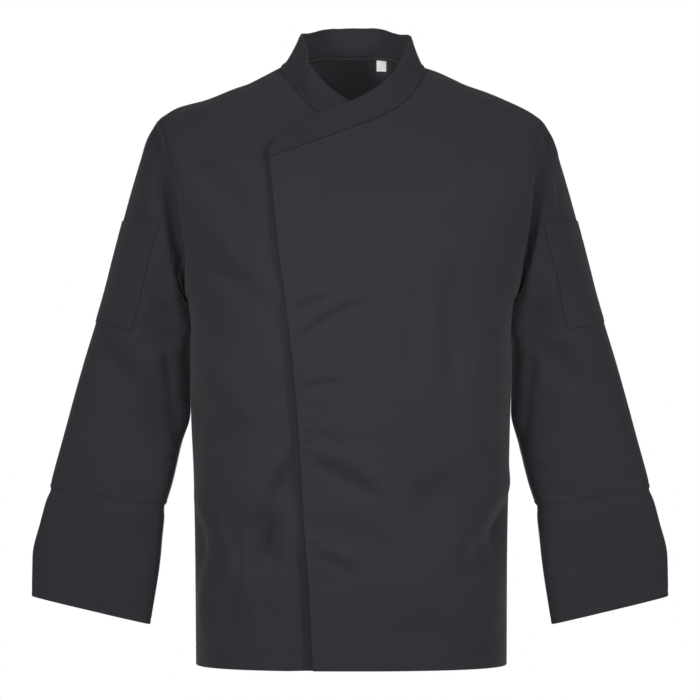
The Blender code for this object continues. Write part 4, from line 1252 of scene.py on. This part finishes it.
def size_label():
    """The bare label inside the back, below the collar: the back's own points, moved in."""
    rows = np.arange(len(back.points))
    columns = np.arange(len(back_columns))
    at_row = np.interp(np.linspace(*LABEL_ROWS, LABEL_POINTS), row_places(BACK_ROWS), rows)
    at_column = np.interp(np.linspace(*LABEL_COLUMNS, LABEL_POINTS), back_columns, columns)
    r, c = np.meshgrid(at_row, at_column, indexing="ij")
    i, j = np.minimum(r.astype(int), rows[-2]), np.minimum(c.astype(int), columns[-2])
    u, v = (r - i)[..., None], (c - j)[..., None]

    def patch(grid):
        low = grid[i, j] * (1 - v) + grid[i, j + 1] * v
        return low * (1 - u) + (grid[i + 1, j] * (1 - v) + grid[i + 1, j + 1] * v) * u

    facing = unit(patch(back.wall_facing))
    label = Cloth(patch(back.points) - facing * (CLOTH + LABEL_GAP), -1)
    label.facing = label.wall_facing = facing
    return label


# ---- pieces


def sewn_in(piece, node):
    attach(piece, "root")
    if node:
        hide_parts(node)


def finished(name, cloth, thickness, finish, free=()):
    piece = cloth_mesh(name + "_cloth", cloth, thickness, finish, free)
    sewn_in(piece, name)
    return piece


everywhere = ("bottom", "top", "left", "right")
for side in (LEFT, RIGHT):
    word = WORD[side]
    thick = hem_thickness(fronts[side], True)
    finished(f"{word}_front", fronts[side], thick, TWILL, ("bottom", "left"))
    finished(f"{word}_sleeve", sleeves[side], CLOTH, TWILL)
    finished(f"{word}_cuff", cuffs[side], BAND_CLOTH, BAND, ("top",))
    finished(f"{word}_sleeve_pocket", pockets[side], PATCH_CLOTH, TWILL, everywhere)
finished("back", back, hem_thickness(back), TWILL, ("bottom",))
# the collar takes the darker twill with its painted shade
finished("collar", collar, BAND_CLOTH, COLLAR_PAINTED_SHADE_FINISH, ("top", "left", "right"))
finished("size_label", size_label(), LABEL_CLOTH, LABEL_FINISH, everywhere)


def sewn(part, slot, *lines):
    """The stitching of a part, along lines that don't close unless they say so."""
    lines = [line if len(line) == 3 else (*line, False) for line in lines]
    sewn_in(stitching(f"{part}_stitching", lines, THREAD_FINISH), None)


for side in (LEFT, RIGHT):
    word = WORD[side]
    front, sleeve, cuff, pocket = fronts[side], sleeves[side], cuffs[side], pockets[side]
    sewn(f"{word}_front", "twill", front.level_line(HEM_STITCH), front.upright_line(EDGE_STITCH))
    sewn(f"{word}_sleeve", "twill", *((*sleeve.level_line(s, True), True) for s in CUFF_STITCHES))
    sewn(f"{word}_cuff", "twill", (*cuff.level_line(CUFF_END_STITCH, True), True))
    sewn(
        f"{word}_sleeve_pocket", "twill",
        pocket.level_line(POCKET_STITCH, True), pocket.level_line(POCKET_HEM_STITCH),
        pocket.upright_line(POCKET_STITCH), pocket.upright_line(POCKET_STITCH, True),
    )

seam, seam_facing = back.level_line(SHOULDER_STITCH, True)
ends = (slice(SHOULDER_COUNT), slice(-SHOULDER_COUNT, None))
shoulders = [(seam[end], seam_facing[end]) for end in ends]
sewn("back", "twill", back.level_line(HEM_STITCH), *shoulders)
seam, seam_facing = collar.level_line(COLLAR_STITCHES[0])
sewn("collar", "twill_band", (seam[shown], seam_facing[shown]), collar.level_line(COLLAR_STITCHES[1], True))

# ---- floor, light and camera

FLOOR = -1.45
bpy.ops.mesh.primitive_plane_add(size=8, location=(0, 0, FLOOR))
floor = bpy.context.object
floor.name = "studio_floor"
floor.data.materials.append(plain_finish("pale_floor", (0.8, 0.8, 0.8), 0.9, 3.0))

world = bpy.data.worlds.new("studio")
world.use_nodes = True
bpy.context.scene.world = world
tree = world.node_tree
ambient = tree.nodes["Background"]
white = tree.nodes.new("ShaderNodeBackground")
for shade, strength in ((ambient, 0.03), (white, 1.0)):
    shade.inputs["Color"].default_value = (1, 1, 1, 1)
    shade.inputs["Strength"].default_value = strength
seen = tree.nodes.new("ShaderNodeLightPath")
either = tree.nodes.new("ShaderNodeMixShader")
for slot, output in enumerate((seen.outputs["Is Camera Ray"], ambient.outputs[0], white.outputs[0])):
    tree.links.new(output, either.inputs[slot])
tree.links.new(either.outputs[0], tree.nodes["World Output"].inputs["Surface"])


def soft_light(name, place, aim, size, power, spread=180):
    data = bpy.data.lights.new(name, "AREA")
    data.shape = "RECTANGLE"
    data.size, data.size_y = size
    data.energy = power
    data.spread = math.radians(spread)
    light = bpy.data.objects.new(name, data)
    light.visible_camera = False
    light.location = place
    way = np.array(aim) - np.array(place)
    level = math.hypot(way[0], way[1])
    turn = math.atan2(way[1], way[0]) - math.pi / 2
    light.rotation_euler = (math.pi / 2 + math.atan2(way[2], level), 0, turn)
    bpy.context.collection.objects.link(light)


soft_light("front_softbox", (0.02, -1.3, 0.15), (0.02, -0.1, -0.44), (0.5, 0.5), 0.6, 50)
soft_light("top_softbox", (0.1, -2.2, 1.5), (0, 0, -0.3), (1.4, 1.0), 2)
soft_light("left_softbox", (3.4, -3.1, 1.45), (0, 0, -0.5), (1.4, 1.8), 98)
soft_light("right_softbox", (-3.4, -3.1, 1.45), (0, 0, -0.5), (1.4, 1.8), 98)
soft_light("neck_spot", (0.0, -1.5, 0.9), (0.01, 0.03, 0.04), (0.12, 0.12), 0.04, 8)
soft_light("label_spot", (0.0, -1.5, 0.5), (0.0405, 0.055, 0.006), (0.01, 0.01), 0.0009, 1)
soft_light("back_softbox", (0, 3.2, -0.1), (0, 0, -0.3), (2, 1.5), 90)

camera_data = bpy.data.cameras.new("camera")
camera_data.lens = 212.9
camera_data.sensor_width = 36
camera_data.clip_end = 100
camera = bpy.data.objects.new("camera", camera_data)
camera.location = (0, -5.3, -0.361)
camera.rotation_euler = (math.pi / 2, 0, 0)
bpy.context.collection.objects.link(camera)
bpy.context.scene.camera = camera
bpy.context.scene.view_settings.view_transform = "Standard"
